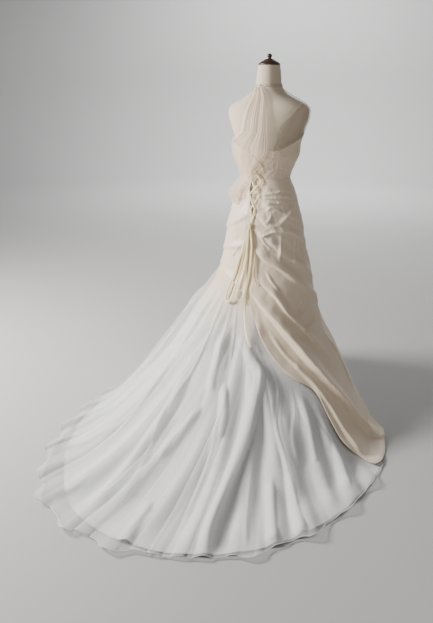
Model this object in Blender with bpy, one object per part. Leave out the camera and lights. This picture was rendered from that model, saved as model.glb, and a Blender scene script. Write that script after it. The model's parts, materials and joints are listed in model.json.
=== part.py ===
"""Wedding dress with a train on a limbless dress form. Metres, +Z up, the train towards +Y.

The origin is on the floor, in the middle of the stand's foot. The wearer's left is +X. A place on the
gown is a bearing (an angle about the body's axis, 0 at the centre back, growing towards +X) and a
station (below 0 the bodice, by height over the waist; 0 at the waist and 1 at the hem). Each layer of
cloth is a wall that stands a stated lift off that surface, so that layers can't cross.
"""
import math
from collections import namedtuple

import bmesh
import bpy
import numpy as np

# Cloth and seams
SATIN = 0.0020
TULLE = 0.0010
SEAM = 0.0003
LAYER_GAP = 0.0005
WAIST_HEIGHT = 1.05
GOWN_EASE = 0.004
WAIST_SOFTNESS = 0.03

# The dress form: half the width, and the depths behind and before the axis, at each height
Ring = namedtuple("Ring", "height half_width back front")
FORM = [
    Ring(0.72, 0.158, 0.118, 0.100),
    Ring(0.80, 0.168, 0.126, 0.104),
    Ring(0.86, 0.164, 0.122, 0.103),
    Ring(0.95, 0.136, 0.101, 0.096),
    Ring(1.05, 0.106, 0.082, 0.086),
    Ring(1.11, 0.126, 0.092, 0.098),
    Ring(1.16, 0.146, 0.100, 0.112),
    Ring(1.20, 0.149, 0.104, 0.118),
    Ring(1.24, 0.160, 0.106, 0.112),
    Ring(1.27, 0.171, 0.106, 0.104),
    Ring(1.31, 0.187, 0.102, 0.094),
    Ring(1.345, 0.191, 0.094, 0.082),
    Ring(1.365, 0.176, 0.086, 0.072),
    Ring(1.38, 0.150, 0.080, 0.064),
    Ring(1.395, 0.118, 0.074, 0.056),
    Ring(1.41, 0.090, 0.067, 0.050),
    Ring(1.43, 0.068, 0.060, 0.047),
    Ring(1.45, 0.058, 0.055, 0.047),
    Ring(1.50, 0.052, 0.051, 0.047),
    Ring(1.53, 0.047, 0.047, 0.044),
]
FORM_ROUNDNESS = 2.1
FORM_SIDES = 32
FORM_LEVELS = [0.72, 0.76, 0.80, 0.86, 0.91, 0.95, 1.00, 1.03, 1.05, 1.08, 1.12, 1.16, 1.20, 1.24, 1.27,
               1.30, 1.325, 1.345, 1.357, 1.368, 1.38, 1.392, 1.405, 1.42, 1.441, 1.452, 1.49, 1.53]

# The skirt's rings: heights at the back, sides and front, the ring's middle, its reach four ways,
# and how round it is behind and before
Hoop = namedtuple("Hoop", "station z_back z_side z_front middle back left right front n_back n_front")
SKIRT = [
    Hoop(0.00, 1.05, 1.05, 1.05, 0.00, 0.086, 0.110, 0.110, 0.090, 2.1, 2.1),
    Hoop(0.10, 0.95, 0.95, 0.95, 0.00, 0.108, 0.142, 0.144, 0.102, 2.1, 2.1),
    Hoop(0.20, 0.85, 0.85, 0.85, 0.00, 0.134, 0.171, 0.174, 0.112, 2.1, 2.1),
    Hoop(0.30, 0.75, 0.75, 0.75, 0.00, 0.146, 0.186, 0.192, 0.120, 2.1, 2.1),
    Hoop(0.40, 0.64, 0.65, 0.65, 0.00, 0.162, 0.205, 0.222, 0.138, 2.1, 2.1),
    Hoop(0.50, 0.52, 0.53, 0.54, 0.01, 0.205, 0.272, 0.250, 0.168, 2.1, 2.0),
    Hoop(0.60, 0.39, 0.41, 0.42, 0.04, 0.275, 0.350, 0.300, 0.235, 2.1, 1.9),
    Hoop(0.70, 0.26, 0.29, 0.31, 0.09, 0.380, 0.412, 0.394, 0.335, 2.1, 1.8),
    Hoop(0.80, 0.12, 0.16, 0.20, 0.19, 0.515, 0.468, 0.502, 0.470, 2.1, 1.75),
    Hoop(0.88, 0.03, 0.06, 0.11, 0.31, 0.650, 0.530, 0.590, 0.605, 2.15, 1.7),
    Hoop(0.94, 0.00, 0.01, 0.05, 0.41, 0.790, 0.578, 0.672, 0.715, 2.2, 1.62),
    Hoop(1.00, 0.00, 0.00, 0.00, 0.50, 0.918, 0.622, 0.768, 0.830, 2.2, 1.58),
]
SIDE_BLEND = 1.5
STATION_MARGIN = 0.0006
NORMAL_TURN = 0.05
NORMAL_RISE = 0.0005

# The lacing opening and the centre back seam below it: its middle and half its width, in degrees
Opening = namedtuple("Opening", "station middle half")
OPENING = [
    Opening(-0.21, 1.5, 26.0),
    Opening(-0.13, 1.0, 24.0),
    Opening(-0.02, 2.8, 19.2),
    Opening(0.06, 3.9, 16.5),
    Opening(0.12, 3.6, 7.9),
    Opening(0.17, 2.2, 2.7),
    Opening(0.20, 1.0, 0.0),
    Opening(0.30, -3.0, 0.0),
    Opening(0.42, -8.0, 0.0),
    Opening(0.52, -9.5, 0.0),
    Opening(0.75, -11.0, 0.0),
    Opening(1.00, -12.0, 0.0),
]
LEFT_SEAM = 100.0
RIGHT_SEAM = -112.0
EDGE_GUESS = 0.6
EDGE_ROUNDS = 40
TRAIN_RIGHT = -91.0
TRAIN_END_RIGHT = 8.0
TRAIN_END_LEFT = 4.0

# Lower edge of the satin: the left hip, then the overskirt's long diagonal to the right corner
Edge = namedtuple("Edge", "bearing station")
SATIN_EDGE = [
    Edge(-112.0, 1.000),
    Edge(-107.5, 1.000),
    Edge(-96.0, 0.989),
    Edge(-87.5, 0.973),
    Edge(-82.0, 0.930),
    Edge(-74.5, 0.886),
    Edge(-68.0, 0.827),
    Edge(-61.3, 0.761),
    Edge(-46.8, 0.717),
    Edge(-32.0, 0.649),
    Edge(-20.0, 0.576),
    Edge(-9.5, 0.521),
    Edge(2.0, 0.487),
    Edge(20.0, 0.458),
    Edge(45.0, 0.432),
    Edge(74.0, 0.417),
    Edge(100.0, 0.412),
]
UNDERSKIRT_HEM = [
    Edge(-112.0, 0.991),
    Edge(-57.0, 0.989),
    Edge(-24.0, 0.989),
    Edge(-6.0, 0.988),
    Edge(7.3, 0.981),
    Edge(15.8, 0.976),
    Edge(29.5, 0.965),
    Edge(100.0, 0.962),
]

# Rows and columns of the skirt's walls; the satin's rows are shares of the way to its lower edge,
# on the crests and in the troughs of its swags
HIP_SHARES = [0.0, 0.10, 0.19, 0.28, 0.37, 0.46, 0.55, 0.65, 0.755, 0.82, 0.88, 0.94, 1.0]
HIP_ROWS = len(HIP_SHARES) - 1
TUCK_ROWS = 3
TRAIN_ROWS = 10
HEM_ROWS = 2
LEFT_COLUMNS = 21
RIGHT_COLUMNS = 22
FRONT_COLUMNS = 12
FRONT_CORNER = 0.85

# Folds: a crest through a few places, how wide each flank is, and how high it stands
Fold = namedtuple("Fold", "crest half_width height")
UNDERSKIRT_FOLDS = [
    Fold([(38, 0.58), (37, 0.80), (38, 0.97)], 0.075, 0.022),
    Fold([(24, 0.60), (20, 0.80), (18, 0.97)], 0.070, 0.026),
    Fold([(12, 0.62), (5, 0.80), (4, 0.96)], 0.075, 0.024),
    Fold([(4, 0.62), (-6, 0.76), (-9, 0.88), (-8, 0.98)], 0.070, 0.030),
    Fold([(-12, 0.63), (-17, 0.80), (-21, 0.90), (-21, 0.985)], 0.065, 0.034),
    Fold([(-19, 0.66), (-28, 0.76), (-31, 0.88), (-32, 0.98)], 0.055, 0.028),
    Fold([(-30, 0.70), (-38, 0.82), (-41, 0.92), (-42, 0.985)], 0.055, 0.026),
    Fold([(-40, 0.75), (-47, 0.88), (-51, 0.985)], 0.055, 0.030),
    Fold([(-54, 0.78), (-58, 0.88), (-61, 0.98)], 0.050, 0.024),
    Fold([(-63, 0.82), (-69, 0.90), (-71, 0.98)], 0.050, 0.026),
    Fold([(58, 0.62), (56, 0.80), (54, 0.97)], 0.080, 0.020),
    Fold([(78, 0.60), (76, 0.80), (74, 0.97)], 0.080, 0.020),
]
OVERLAY_FOLDS = [
    Fold([(66, 0.50), (60, 0.70), (57, 0.88)], 0.060, 0.024),
    Fold([(48, 0.50), (44, 0.70), (44, 0.90)], 0.055, 0.018),
    Fold([(32, 0.52), (30, 0.70), (28, 0.90)], 0.050, 0.016),
    Fold([(18, 0.52), (13, 0.72), (11, 0.94)], 0.045, 0.014),
    Fold([(8, 0.54), (1, 0.70), (-2, 0.86)], 0.040, 0.012),
    Fold([(-4, 0.56), (-13, 0.74), (-15, 0.92)], 0.040, 0.012),
    Fold([(-15, 0.60), (-24, 0.74), (-26, 0.94)], 0.040, 0.014),
    Fold([(-28, 0.67), (-37, 0.80), (-47, 0.93)], 0.040, 0.014),
    Fold([(84, 0.50), (88, 0.70), (88, 0.94)], 0.070, 0.020),
]
OVERSKIRT_FOLDS = [
    Fold([(-20, 0.050), (-50, 0.068), (-95, 0.095)], 0.018, 0.005),
    Fold([(-16, 0.104), (-45, 0.135), (-90, 0.185)], 0.020, 0.008),
    Fold([(-10, 0.155), (-41, 0.195), (-72, 0.250), (-100, 0.285)], 0.022, 0.010),
    Fold([(-6, 0.225), (-32, 0.265), (-60, 0.345), (-98, 0.450)], 0.026, 0.012),
    Fold([(-8, 0.300), (-43, 0.375), (-67, 0.450), (-104, 0.555)], 0.030, 0.020),
    Fold([(-10, 0.395), (-34, 0.500), (-55, 0.560), (-82, 0.710)], 0.032, 0.022),
    Fold([(-12, 0.475), (-34, 0.580), (-61, 0.672), (-75, 0.780), (-90, 0.862), (-98, 0.940)], 0.042, 0.034),
]
HIP_LEFT_FOLDS = [
    Fold([(22, 0.075), (50, 0.100), (90, 0.130)], 0.018, 0.005),
    Fold([(12, 0.160), (40, 0.200), (85, 0.250)], 0.022, 0.007),
    Fold([(4, 0.290), (30, 0.310), (80, 0.345)], 0.024, 0.007),
]
FRONT_FOLDS = [
    Fold([(-135, 0.45), (-138, 0.75), (-140, 0.98)], 0.080, 0.022),
    Fold([(-165, 0.45), (-165, 0.75), (-165, 0.98)], 0.080, 0.022),
    Fold([(-195, 0.45), (-196, 0.75), (-197, 0.98)], 0.080, 0.022),
    Fold([(-225, 0.45), (-227, 0.75), (-229, 0.98)], 0.080, 0.022),
]
FOLD_ONSET = 0.07
FOLD_SAMPLES = 40
FOLD_RISES_IN = 0.25
FOLD_FALLS_IN = 0.12
FOLD_END_HEIGHT = 0.35

# Flutes of the sheer hem: where, how wide, how high, and how far they reach out
Flute = namedtuple("Flute", "bearing half_angle rise reach")
FLUTES = [
    Flute(87.0, 7.0, 0.016, 0.006),
    Flute(72.0, 7.0, 0.018, 0.008),
    Flute(58.0, 6.0, 0.020, 0.010),
    Flute(45.0, 6.0, 0.024, 0.012),
    Flute(33.0, 5.5, 0.020, 0.010),
    Flute(22.0, 5.5, 0.026, 0.014),
    Flute(8.0, 5.5, 0.018, 0.010),
    Flute(-5.0, 5.5, 0.012, 0.010),
    Flute(-36.0, 5.5, 0.012, 0.010),
    Flute(-52.0, 5.5, 0.018, 0.012),
    Flute(-66.0, 5.5, 0.018, 0.008),
    Flute(-80.0, 5.5, 0.016, 0.006),
]
FLUTE_START = 0.90
FLUTE_FREE = 0.05
SHEER_HEM = 0.988
HEM_STEP = 0.004
HEM_SETTLE_END = 1.03
HEM_SETTLE = 0.05

# The left side, where the opaque skirt hangs inside the sheer layer
INSET = 0.070
INSET_FROM = 34.0
INSET_FULL = 58.0
INSET_BACK = 84.0
INSET_END = 98.0
INSET_ONSET = 0.10
Inset = namedtuple("Inset", "station share")
INSET_SHARE = [
    Inset(0.40, 0.0),
    Inset(0.52, 0.70),
    Inset(0.66, 1.0),
    Inset(0.78, 0.80),
    Inset(0.88, 0.25),
    Inset(0.94, 0.0),
    Inset(1.00, 0.0),
]

# Bodice
BODICE_ROWS = 6
BODICE_BACK_COLUMNS = 9
BODICE_FRONT_COLUMNS = 18
SIDE_SEAM = 90.0
BODICE_ROUNDS = 12
Top = namedtuple("Top", "bearing height")
BODICE_EDGE = [
    Top(0.0, 1.178),
    Top(25.0, 1.180),
    Top(50.0, 1.190),
    Top(67.5, 1.210),
    Top(90.0, 1.240),
    Top(115.0, 1.256),
    Top(145.0, 1.262),
    Top(180.0, 1.238),
]
BODICE_LIFT = -0.0010
MODESTY_LIFT = -0.0028
MODESTY_WALL = 0.0012
MODESTY_LAP = 9.0
MODESTY_HIP_ROWS = 4
MODESTY_COLUMNS = 7
CALM_FROM = 3.5
CALM_TO = 14.0
CALM_ABOVE = 0.22
CALM_BELOW = 0.32
SATIN_LOWERS = 0.90
SATIN_LIFT = 0.0040
SATIN_SETTLE = 0.05

# Lacing
CORD = 0.0016
CORD_SIDES = 4
LOOPS = 7
LOOP_POINTS = 6
LOOP_REACH = 0.010
LOOP_ROOT = 0.004
LOOPS_TOP = -0.120
LOOPS_END = 0.1730
LOOP_NARROWEST = 0.2
LOOP_NARROWS_OVER = 0.10
OPENING_END = 0.20
TUCK_NARROW = 0.001
TUCK_WIDE = 0.004
TUCK_NARROWS_OVER = 0.12
RUN_STEPS = 4
RIBBON_WIDTH_IN_STATION = 0.02
LACING_TOP = -0.112
LACING_END = 0.1930
RIBBON = 0.010
RIBBON_WALL = 0.0011
CROSSINGS = 5
LACING_LIFT = 0.0022
LACING_STEP = 0.0026
KNOT_STATION = 0.2065
KNOT_BEARING = 4.0
KNOT_SIZE = (0.018, 0.011, 0.0303)

# Hanging ribbons, as bearing, station and lift of the ribbon's middle line
Hang = namedtuple("Hang", "bearing station lift")
BOW_LOOP_LEFT = [
    Hang(6.6, 0.2208, 0.0137),
    Hang(11.0, 0.262, 0.0137),
    Hang(16.5, 0.329, 0.0142),
    Hang(22.0, 0.394, 0.0150),
    Hang(25.0, 0.455, 0.0165),
    Hang(23.5, 0.500, 0.0200),
    Hang(19.0, 0.526, 0.0230),
    Hang(15.0, 0.515, 0.0255),
    Hang(14.0, 0.470, 0.0240),
    Hang(13.0, 0.410, 0.0220),
    Hang(9.8, 0.330, 0.0200),
    Hang(7.4, 0.262, 0.0190),
    Hang(6.1, 0.2208, 0.0190),
]
BOW_LOOP_MIDDLE = [
    Hang(3.8, 0.2217, 0.0155),
    Hang(3.4, 0.265, 0.0156),
    Hang(2.2, 0.330, 0.0165),
    Hang(1.0, 0.400, 0.0170),
    Hang(-0.6, 0.465, 0.0195),
    Hang(-0.2, 0.500, 0.0225),
    Hang(3.6, 0.513, 0.0260),
    Hang(7.2, 0.500, 0.0290),
    Hang(7.4, 0.455, 0.0280),
    Hang(5.8, 0.390, 0.0250),
    Hang(5.2, 0.320, 0.0220),
    Hang(4.6, 0.262, 0.0209),
    Hang(4.2, 0.2217, 0.0208),
]
RIBBON_TAIL_LONG = [
    Hang(1.4, 0.2208, 0.0172),
    Hang(-0.8, 0.249, 0.0190),
    Hang(-3.4, 0.321, 0.0215),
    Hang(-3.2, 0.399, 0.0235),
    Hang(-4.4, 0.440, 0.0260),
    Hang(-4.6, 0.483, 0.0290),
    Hang(-6.4, 0.529, 0.0330),
    Hang(-10.5, 0.581, 0.0330),
    Hang(-15.8, 0.623, 0.0320),
    Hang(-19.6, 0.644, 0.0320),
]
RIBBON_TAIL_SHORT = [
    Hang(1.4, 0.2207, 0.0124),
    Hang(-3.4, 0.257, 0.0140),
    Hang(-8.0, 0.341, 0.0175),
    Hang(-10.0, 0.410, 0.0195),
    Hang(-15.0, 0.451, 0.0200),
]
HANG_STEP = 0.019
HANG_SAMPLES = 60

# Neck and sheer pieces
NECK_BAND_LOW = 1.441
NECK_BAND_HIGH = 1.452
NECK_BAND_LIFT = 0.0005
NECK_BAND_WALL = 0.0015
HOOK_SIZE = (0.009, 0.0022, 0.006)
HOOK_BEARING = 12.0
HOOK_GAP = 0.0006
NECK_RADIUS = 0.055
Side = namedtuple("Side", "height right left")
YOKE_SIDES = [
    Side(1.17, -37.0, -256.0),
    Side(1.194, -38.0, -256.0),
    Side(1.219, -41.5, -254.0),
    Side(1.278, -47.0, -250.0),
    Side(1.320, -61.5, -245.0),
    Side(1.345, -69.0, -241.0),
    Side(1.368, -81.0, -238.0),
    Side(1.392, -94.0, -236.0),
    Side(1.410, -99.0, -234.0),
    Side(1.440, -108.0, -236.0),
]
YOKE_LEVELS = [1.27, 1.30, 1.325, 1.345, 1.357, 1.368, 1.38, 1.392, 1.405, 1.42, 1.4405]
YOKE_COLUMNS = 18
YOKE_LIFT = 0.0110
YOKE_LAP = 0.008
YOKE_GAP = 0.0026
YOKE_RISES_OVER = 0.05
YOKE_CLOSES_AT = 1.405
YOKE_ROUNDS = 20
DRAPE_SIDES = [
    Side(0.925, 42.0, 78.0),
    Side(0.955, 38.0, 96.0),
    Side(0.990, 33.0, 104.0),
    Side(1.030, 21.0, 104.0),
    Side(1.075, 10.0, 102.0),
    Side(1.130, -14.0, 100.0),
    Side(1.180, -25.5, 96.0),
    Side(1.232, -25.0, 60.0),
    Side(1.260, -24.5, 42.0),
    Side(1.306, -23.5, 39.0),
    Side(1.388, -19.0, 36.0),
    Side(1.425, -6.0, 40.0),
    Side(1.440, 2.0, 42.0),
]
DRAPE_ROWS = 17
DRAPE_COLUMNS = 16
DRAPE_CLOSE = 0.015
DRAPE_PLEATS = 4.0
DRAPE_PLEAT_RISE = 0.0045
DRAPE_PLEATS_START_OVER = 0.08
Lift = namedtuple("Lift", "height lift")
DRAPE_LIFT = [
    Lift(0.925, 0.0129),
    Lift(0.945, 0.0300),
    Lift(0.970, 0.0400),
    Lift(1.000, 0.0300),
    Lift(1.040, 0.0170),
    Lift(1.100, 0.0120),
    Lift(1.200, 0.0120),
    Lift(1.300, 0.0090),
    Lift(1.400, 0.0060),
    Lift(1.420, 0.0040),
    Lift(1.440, -0.0015),
]

# Stand and cap, as radius and height
Turn = namedtuple("Turn", "radius height")
STAND_BASE = [
    Turn(0.0, 0.0),
    Turn(0.175, 0.0),
    Turn(0.180, 0.004),
    Turn(0.178, 0.010),
    Turn(0.060, 0.019),
    Turn(0.030, 0.030),
    Turn(0.0, 0.030),
]
POLE_RADIUS = 0.016
NECK_CAP = [
    Turn(0.0, 0.0),
    Turn(0.0475, 0.0),
    Turn(0.0480, 0.004),
    Turn(0.0400, 0.012),
    Turn(0.0260, 0.020),
    Turn(0.0150, 0.025),
    Turn(0.0, 0.025),
]
FINIAL = [
    Turn(0.0, 0.0),
    Turn(0.0090, 0.0),
    Turn(0.0075, 0.004),
    Turn(0.0110, 0.010),
    Turn(0.0090, 0.017),
    Turn(0.0035, 0.021),
    Turn(0.0, 0.022),
]
TURN_SIDES = 16
SHARP_ANGLE = 50.0

# Colours, roughness and metal share
Finish = namedtuple("Finish", "colour roughness metallic")
FINISHES = {
    "satin": Finish((0.80, 0.75, 0.68), 0.42, 0.0),
    "underskirt": Finish((0.86, 0.86, 0.84), 0.55, 0.0),
    "tulle": Finish((0.82, 0.79, 0.76), 0.70, 0.0),
    "ribbon": Finish((0.84, 0.79, 0.64), 0.38, 0.0),
    "form_cloth": Finish((0.72, 0.62, 0.50), 0.80, 0.0),
    "wood": Finish((0.09, 0.04, 0.025), 0.35, 0.0),
    "metal": Finish((0.10, 0.09, 0.09), 0.40, 0.8),
}


def smooth_columns(table, at):
    """Read every column of a table after its first, by a curve without overshoot."""
    rows = np.array([tuple(row) for row in table], float)
    x, y = rows[:, 0], rows[:, 1:]
    step = np.diff(x)[:, None]
    slope = np.diff(y, axis=0) / step
    tangent = np.zeros_like(y)
    tangent[0], tangent[-1] = slope[0], slope[-1]
    same = slope[:-1] * slope[1:] > 0
    before, after = 2 * step[1:] + step[:-1], step[1:] + 2 * step[:-1]
    low = np.where(same, slope[:-1], 1.0)
    high = np.where(same, slope[1:], 1.0)
    tangent[1:-1] = np.where(same, (before + after) / (before / low + after / high), 0.0)
    at = np.clip(np.asarray(at, float), x[0], x[-1])
    index = np.clip(np.searchsorted(x, at, side="right") - 1, 0, len(x) - 2)
    width = (x[index + 1] - x[index])[..., None]
    t = (at - x[index])[..., None] / width
    return ((2 * t**3 - 3 * t**2 + 1) * y[index] + (t**3 - 2 * t**2 + t) * width * tangent[index]
            + (3 * t**2 - 2 * t**3) * y[index + 1] + (t**3 - t**2) * width * tangent[index + 1])


def smooth_value(table, at):
    return smooth_columns(table, at)[..., 0]


def ramp(low, high, value):
    """Rise smoothly from 0 to 1 between two values."""
    t = np.clip((np.asarray(value, float) - low) / (high - low), 0.0, 1.0)
    return t * t * (3.0 - 2.0 * t)


def blend(a, b, share):
    return a + (b - a) * share


def ring_radius(sine, cosine, wide, deep, roundness):
    """Radius of a rounded ring of given half sizes in a direction."""
    return ((np.abs(sine) / wide) ** roundness + (np.abs(cosine) / deep) ** roundness) ** (-1.0 / roundness)


def form_point(bearing, height, lift=0.0):
    """Point off the dress form's surface."""
    bearing, height = np.broadcast_arrays(np.radians(bearing), np.asarray(height, float))
    wide, back, front = np.moveaxis(smooth_columns(FORM, height), -1, 0)
    sine, cosine = np.sin(bearing), np.cos(bearing)
    radius = ring_radius(sine, cosine, wide, np.where(cosine > 0, back, front), FORM_ROUNDNESS)
    place = np.stack([radius * sine, radius * cosine, height], -1)
    if np.isscalar(lift) and lift == 0.0:
        return place
    normal = surface_normal(form_point, np.degrees(bearing), height, 1.0)
    return place + normal * np.broadcast_to(lift, height.shape)[..., None]


def skirt_point(bearing, station):
    """Point on the skirt's surface."""
    bearing, station = np.broadcast_arrays(np.radians(bearing), np.asarray(station, float))
    columns = np.moveaxis(smooth_columns(SKIRT, station), -1, 0)
    z_back, z_side, z_front, middle, back, left, right, front, n_back, n_front = columns
    sine, cosine = np.sin(bearing), np.cos(bearing)
    wide = np.where(sine > 0, left, right)
    deep = np.where(cosine > 0, back, front)
    radius = ring_radius(sine, cosine, wide, deep, np.where(cosine > 0, n_back, n_front))
    height = (z_side + (z_back - z_side) * np.clip(cosine, 0, 1) ** SIDE_BLEND
              + (z_front - z_side) * np.clip(-cosine, 0, 1) ** SIDE_BLEND)
    return np.stack([radius * sine, middle + radius * cosine, height], -1)


def surface_normal(surface, bearing, station, upward):
    """Outward unit normal of a surface of bearing and station; upward is +1 where stations rise."""
    across = surface(bearing + NORMAL_TURN, station) - surface(bearing - NORMAL_TURN, station)
    along = surface(bearing, station + NORMAL_RISE) - surface(bearing, station - NORMAL_RISE)
    normal = np.cross(along, across) * upward
    return normal / np.linalg.norm(normal, axis=-1, keepdims=True)


def gown_point(bearing, station, lift=0.0):
    """Point at a lift off the gown's surface: the bodice above the waist, the skirt below it."""
    bearing, station, lift = np.broadcast_arrays(
        np.asarray(bearing, float), np.asarray(station, float), np.asarray(lift, float))
    below = np.maximum(station, 0.0)
    height = WAIST_HEIGHT - np.minimum(station, 0.0)
    inside = np.clip(below, STATION_MARGIN, 1.0 - STATION_MARGIN)
    skirt_out = surface_normal(skirt_point, bearing, inside, -1.0)
    bodice_out = surface_normal(form_point, bearing, height, 1.0)
    out = blend(bodice_out, skirt_out, ramp(-WAIST_SOFTNESS, WAIST_SOFTNESS, station)[..., None])
    out = out / np.linalg.norm(out, axis=-1, keepdims=True)
    bodice = form_point(bearing, height) + bodice_out * GOWN_EASE
    place = np.where(station[..., None] >= 0.0, skirt_point(bearing, below), bodice)
    return place + out * lift[..., None]


def fold_lift(folds, bearing, station, start=None):
    """Height of a set of folds over the gown's surface, and 0 above the line where they start."""
    place = gown_point(bearing, station)
    lift = np.zeros(place.shape[:-1])
    along = np.linspace(0, 1, FOLD_SAMPLES)
    ends = ramp(0.0, FOLD_RISES_IN, along) * ramp(0.0, FOLD_FALLS_IN, along[::-1])
    for fold in folds:
        rows = [(index,) + tuple(point) for index, point in enumerate(fold.crest)]
        crest = smooth_columns(rows, np.linspace(0, len(rows) - 1, FOLD_SAMPLES))
        line = gown_point(crest[:, 0], crest[:, 1])
        away = np.linalg.norm(place[..., None, :] - line, axis=-1)
        nearest = away.argmin(-1)
        near = np.take_along_axis(away, nearest[..., None], -1)[..., 0]
        shape = np.cos(np.clip(near / (2.0 * fold.half_width), 0.0, 0.5) * math.pi) ** 2
        lift = np.maximum(lift, fold.height * shape * blend(FOLD_END_HEIGHT, 1.0, ends[nearest]))
    if start is not None:
        lift = lift * ramp(0.0, FOLD_ONSET, station - start)
    return lift


def wall_mesh(name, inner, outer, finish, closed=False):
    """Closed wall between two grids of points, rows by columns; closed joins the last column to the first."""
    rows, columns = inner.shape[:2]
    points = np.concatenate([inner.reshape(-1, 3), outer.reshape(-1, 3)])
    shift = rows * columns
    faces = []

    def at(row, column):
        return row * columns + column % columns

    spans = columns if closed else columns - 1
    for row in range(rows - 1):
        for column in range(spans):
            a, b = at(row, column), at(row, column + 1)
            c, d = at(row + 1, column + 1), at(row + 1, column)
            faces += [(a, b, c), (a, c, d)]
            faces += [(a + shift, c + shift, b + shift), (a + shift, d + shift, c + shift)]
    for row, flip in ((0, False), (rows - 1, True)):
        for column in range(spans):
            a, b = at(row, column), at(row, column + 1)
            quad = (b, a, a + shift, b + shift) if not flip else (a, b, b + shift, a + shift)
            faces += [(quad[0], quad[1], quad[2]), (quad[0], quad[2], quad[3])]
    if not closed:
        for column, flip in ((0, False), (columns - 1, True)):
            for row in range(rows - 1):
                a, b = at(row, column), at(row + 1, column)
                quad = (a, b, b + shift, a + shift) if not flip else (b, a, a + shift, b + shift)
                faces += [(quad[0], quad[1], quad[2]), (quad[0], quad[2], quad[3])]
    return add_object(name, points, faces, finish)


def add_object(name, points, faces, finish):
    """Object from points and faces, with its faces turned outwards and a material of its own."""
    mesh = bpy.data.meshes.new(name)
    mesh.from_pydata([tuple(point) for point in points], [], faces)
    work = bmesh.new()
    work.from_mesh(mesh)
    if work.calc_volume(signed=True) < 0:
        bmesh.ops.reverse_faces(work, faces=work.faces)
    work.to_mesh(mesh)
    work.free()
    mesh.shade_smooth()
    mesh.set_sharp_from_angle(angle=math.radians(SHARP_ANGLE))
    mesh.materials.append(material_for(name, finish))
    item = bpy.data.objects.new(name, mesh)
    bpy.context.collection.objects.link(item)
    return item


def material_for(name, finish):
    """Principled material of one piece."""
    look = FINISHES[finish]
    material = bpy.data.materials.new(name + "_finish")
    material.use_nodes = True
    shader = material.node_tree.nodes["Principled BSDF"]
    shader.inputs["Base Color"].default_value = (*look.colour, 1.0)
    shader.inputs["Roughness"].default_value = look.roughness
    shader.inputs["Metallic"].default_value = look.metallic
    return material


def turned(name, profile, base_height, finish):
    """Turned solid from radius and height pairs; its first and last points lie on the axis."""
    points = [(0.0, 0.0, base_height + profile[0].height)]
    rings = profile[1:-1]
    for ring in rings:
        for side in range(TURN_SIDES):
            angle = 2.0 * math.pi * side / TURN_SIDES
            points.append((ring.radius * math.cos(angle), ring.radius * math.sin(angle),
                           base_height + ring.height))
    points.append((0.0, 0.0, base_height + profile[-1].height))
    last = len(points) - 1
    faces = []
    for side in range(TURN_SIDES):
        after = (side + 1) % TURN_SIDES
        faces.append((0, 1 + after, 1 + side))
        top = 1 + (len(rings) - 1) * TURN_SIDES
        faces.append((last, top + side, top + after))
        for ring in range(len(rings) - 1):
            low, high = 1 + ring * TURN_SIDES, 1 + (ring + 1) * TURN_SIDES
            faces.append((low + side, low + after, high + after))
            faces.append((low + side, high + after, high + side))
    return add_object(name, points, faces, finish)


def ribbon_mesh(name, middle, across, out, width, wall, finish):
    """Flat ribbon along a line of points, with the direction across it and its outward side."""
    count = len(middle)
    points = []
    for sign_across, sign_out in ((-1, -1), (1, -1), (1, 1), (-1, 1)):
        points.append(middle + across * (sign_across * width / 2) + out * (sign_out * wall / 2))
    points = np.stack(points, 1).reshape(-1, 3)
    faces = [(0, 1, 2), (0, 2, 3)]
    for index in range(count - 1):
        for side in range(4):
            a, b = index * 4 + side, index * 4 + (side + 1) % 4
            same_diagonal = [(a, a + 4, b + 4), (a, b + 4, b)]
            other_diagonal = [(a, a + 4, b), (a + 4, b + 4, b)]
            faces += other_diagonal if side == 2 else same_diagonal
    end = (count - 1) * 4
    faces += [(end, end + 2, end + 1), (end, end + 3, end + 2)]
    return add_object(name, points, faces, finish)


def pulled_in(grid, first=0.0, last=0.0):
    """Move a grid's first and last columns in along its rows, to leave room at the seams."""
    grid = grid.copy()
    for edge, inner, gap in ((0, 1, first), (-1, -2, last)):
        if gap:
            way = grid[:, inner] - grid[:, edge]
            way /= np.linalg.norm(way, axis=-1, keepdims=True)
            grid[:, edge] += way * gap
    return grid


def column_bearings(stations, shares, side):
    """Bearings of columns that run from the centre back to a side seam."""
    end = LEFT_SEAM if side == "left" else RIGHT_SEAM
    return blend(opening_edge(stations, side), end, shares)


def opening_edge(station, side):
    """Bearing of one edge of the lacing opening, or of the centre back seam below it."""
    middle, half = np.moveaxis(smooth_columns(OPENING, station), -1, 0)
    return middle + half if side == "left" else middle - half


def edge_station(table, shares, side):
    """Station where each column meets a line that is stated by bearing."""
    station = np.full(shares.shape, EDGE_GUESS)
    for _ in range(EDGE_ROUNDS):
        station = smooth_value(table, column_bearings(station, shares, side))
    return station


def hem_station(bearing):
    """Station of the sheer hem, which reaches out at its flutes."""
    reach = np.zeros(np.shape(bearing))
    for flute in FLUTES:
        reach = np.maximum(reach, flute.reach * flute_shape(flute, bearing))
    return SHEER_HEM + reach


def flute_shape(flute, bearing):
    """Cross shape of one wave of the sheer hem."""
    away = np.clip(np.abs(bearing - flute.bearing) / (2.0 * flute.half_angle), 0.0, 0.5)
    return np.cos(away * math.pi) ** 2


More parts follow.
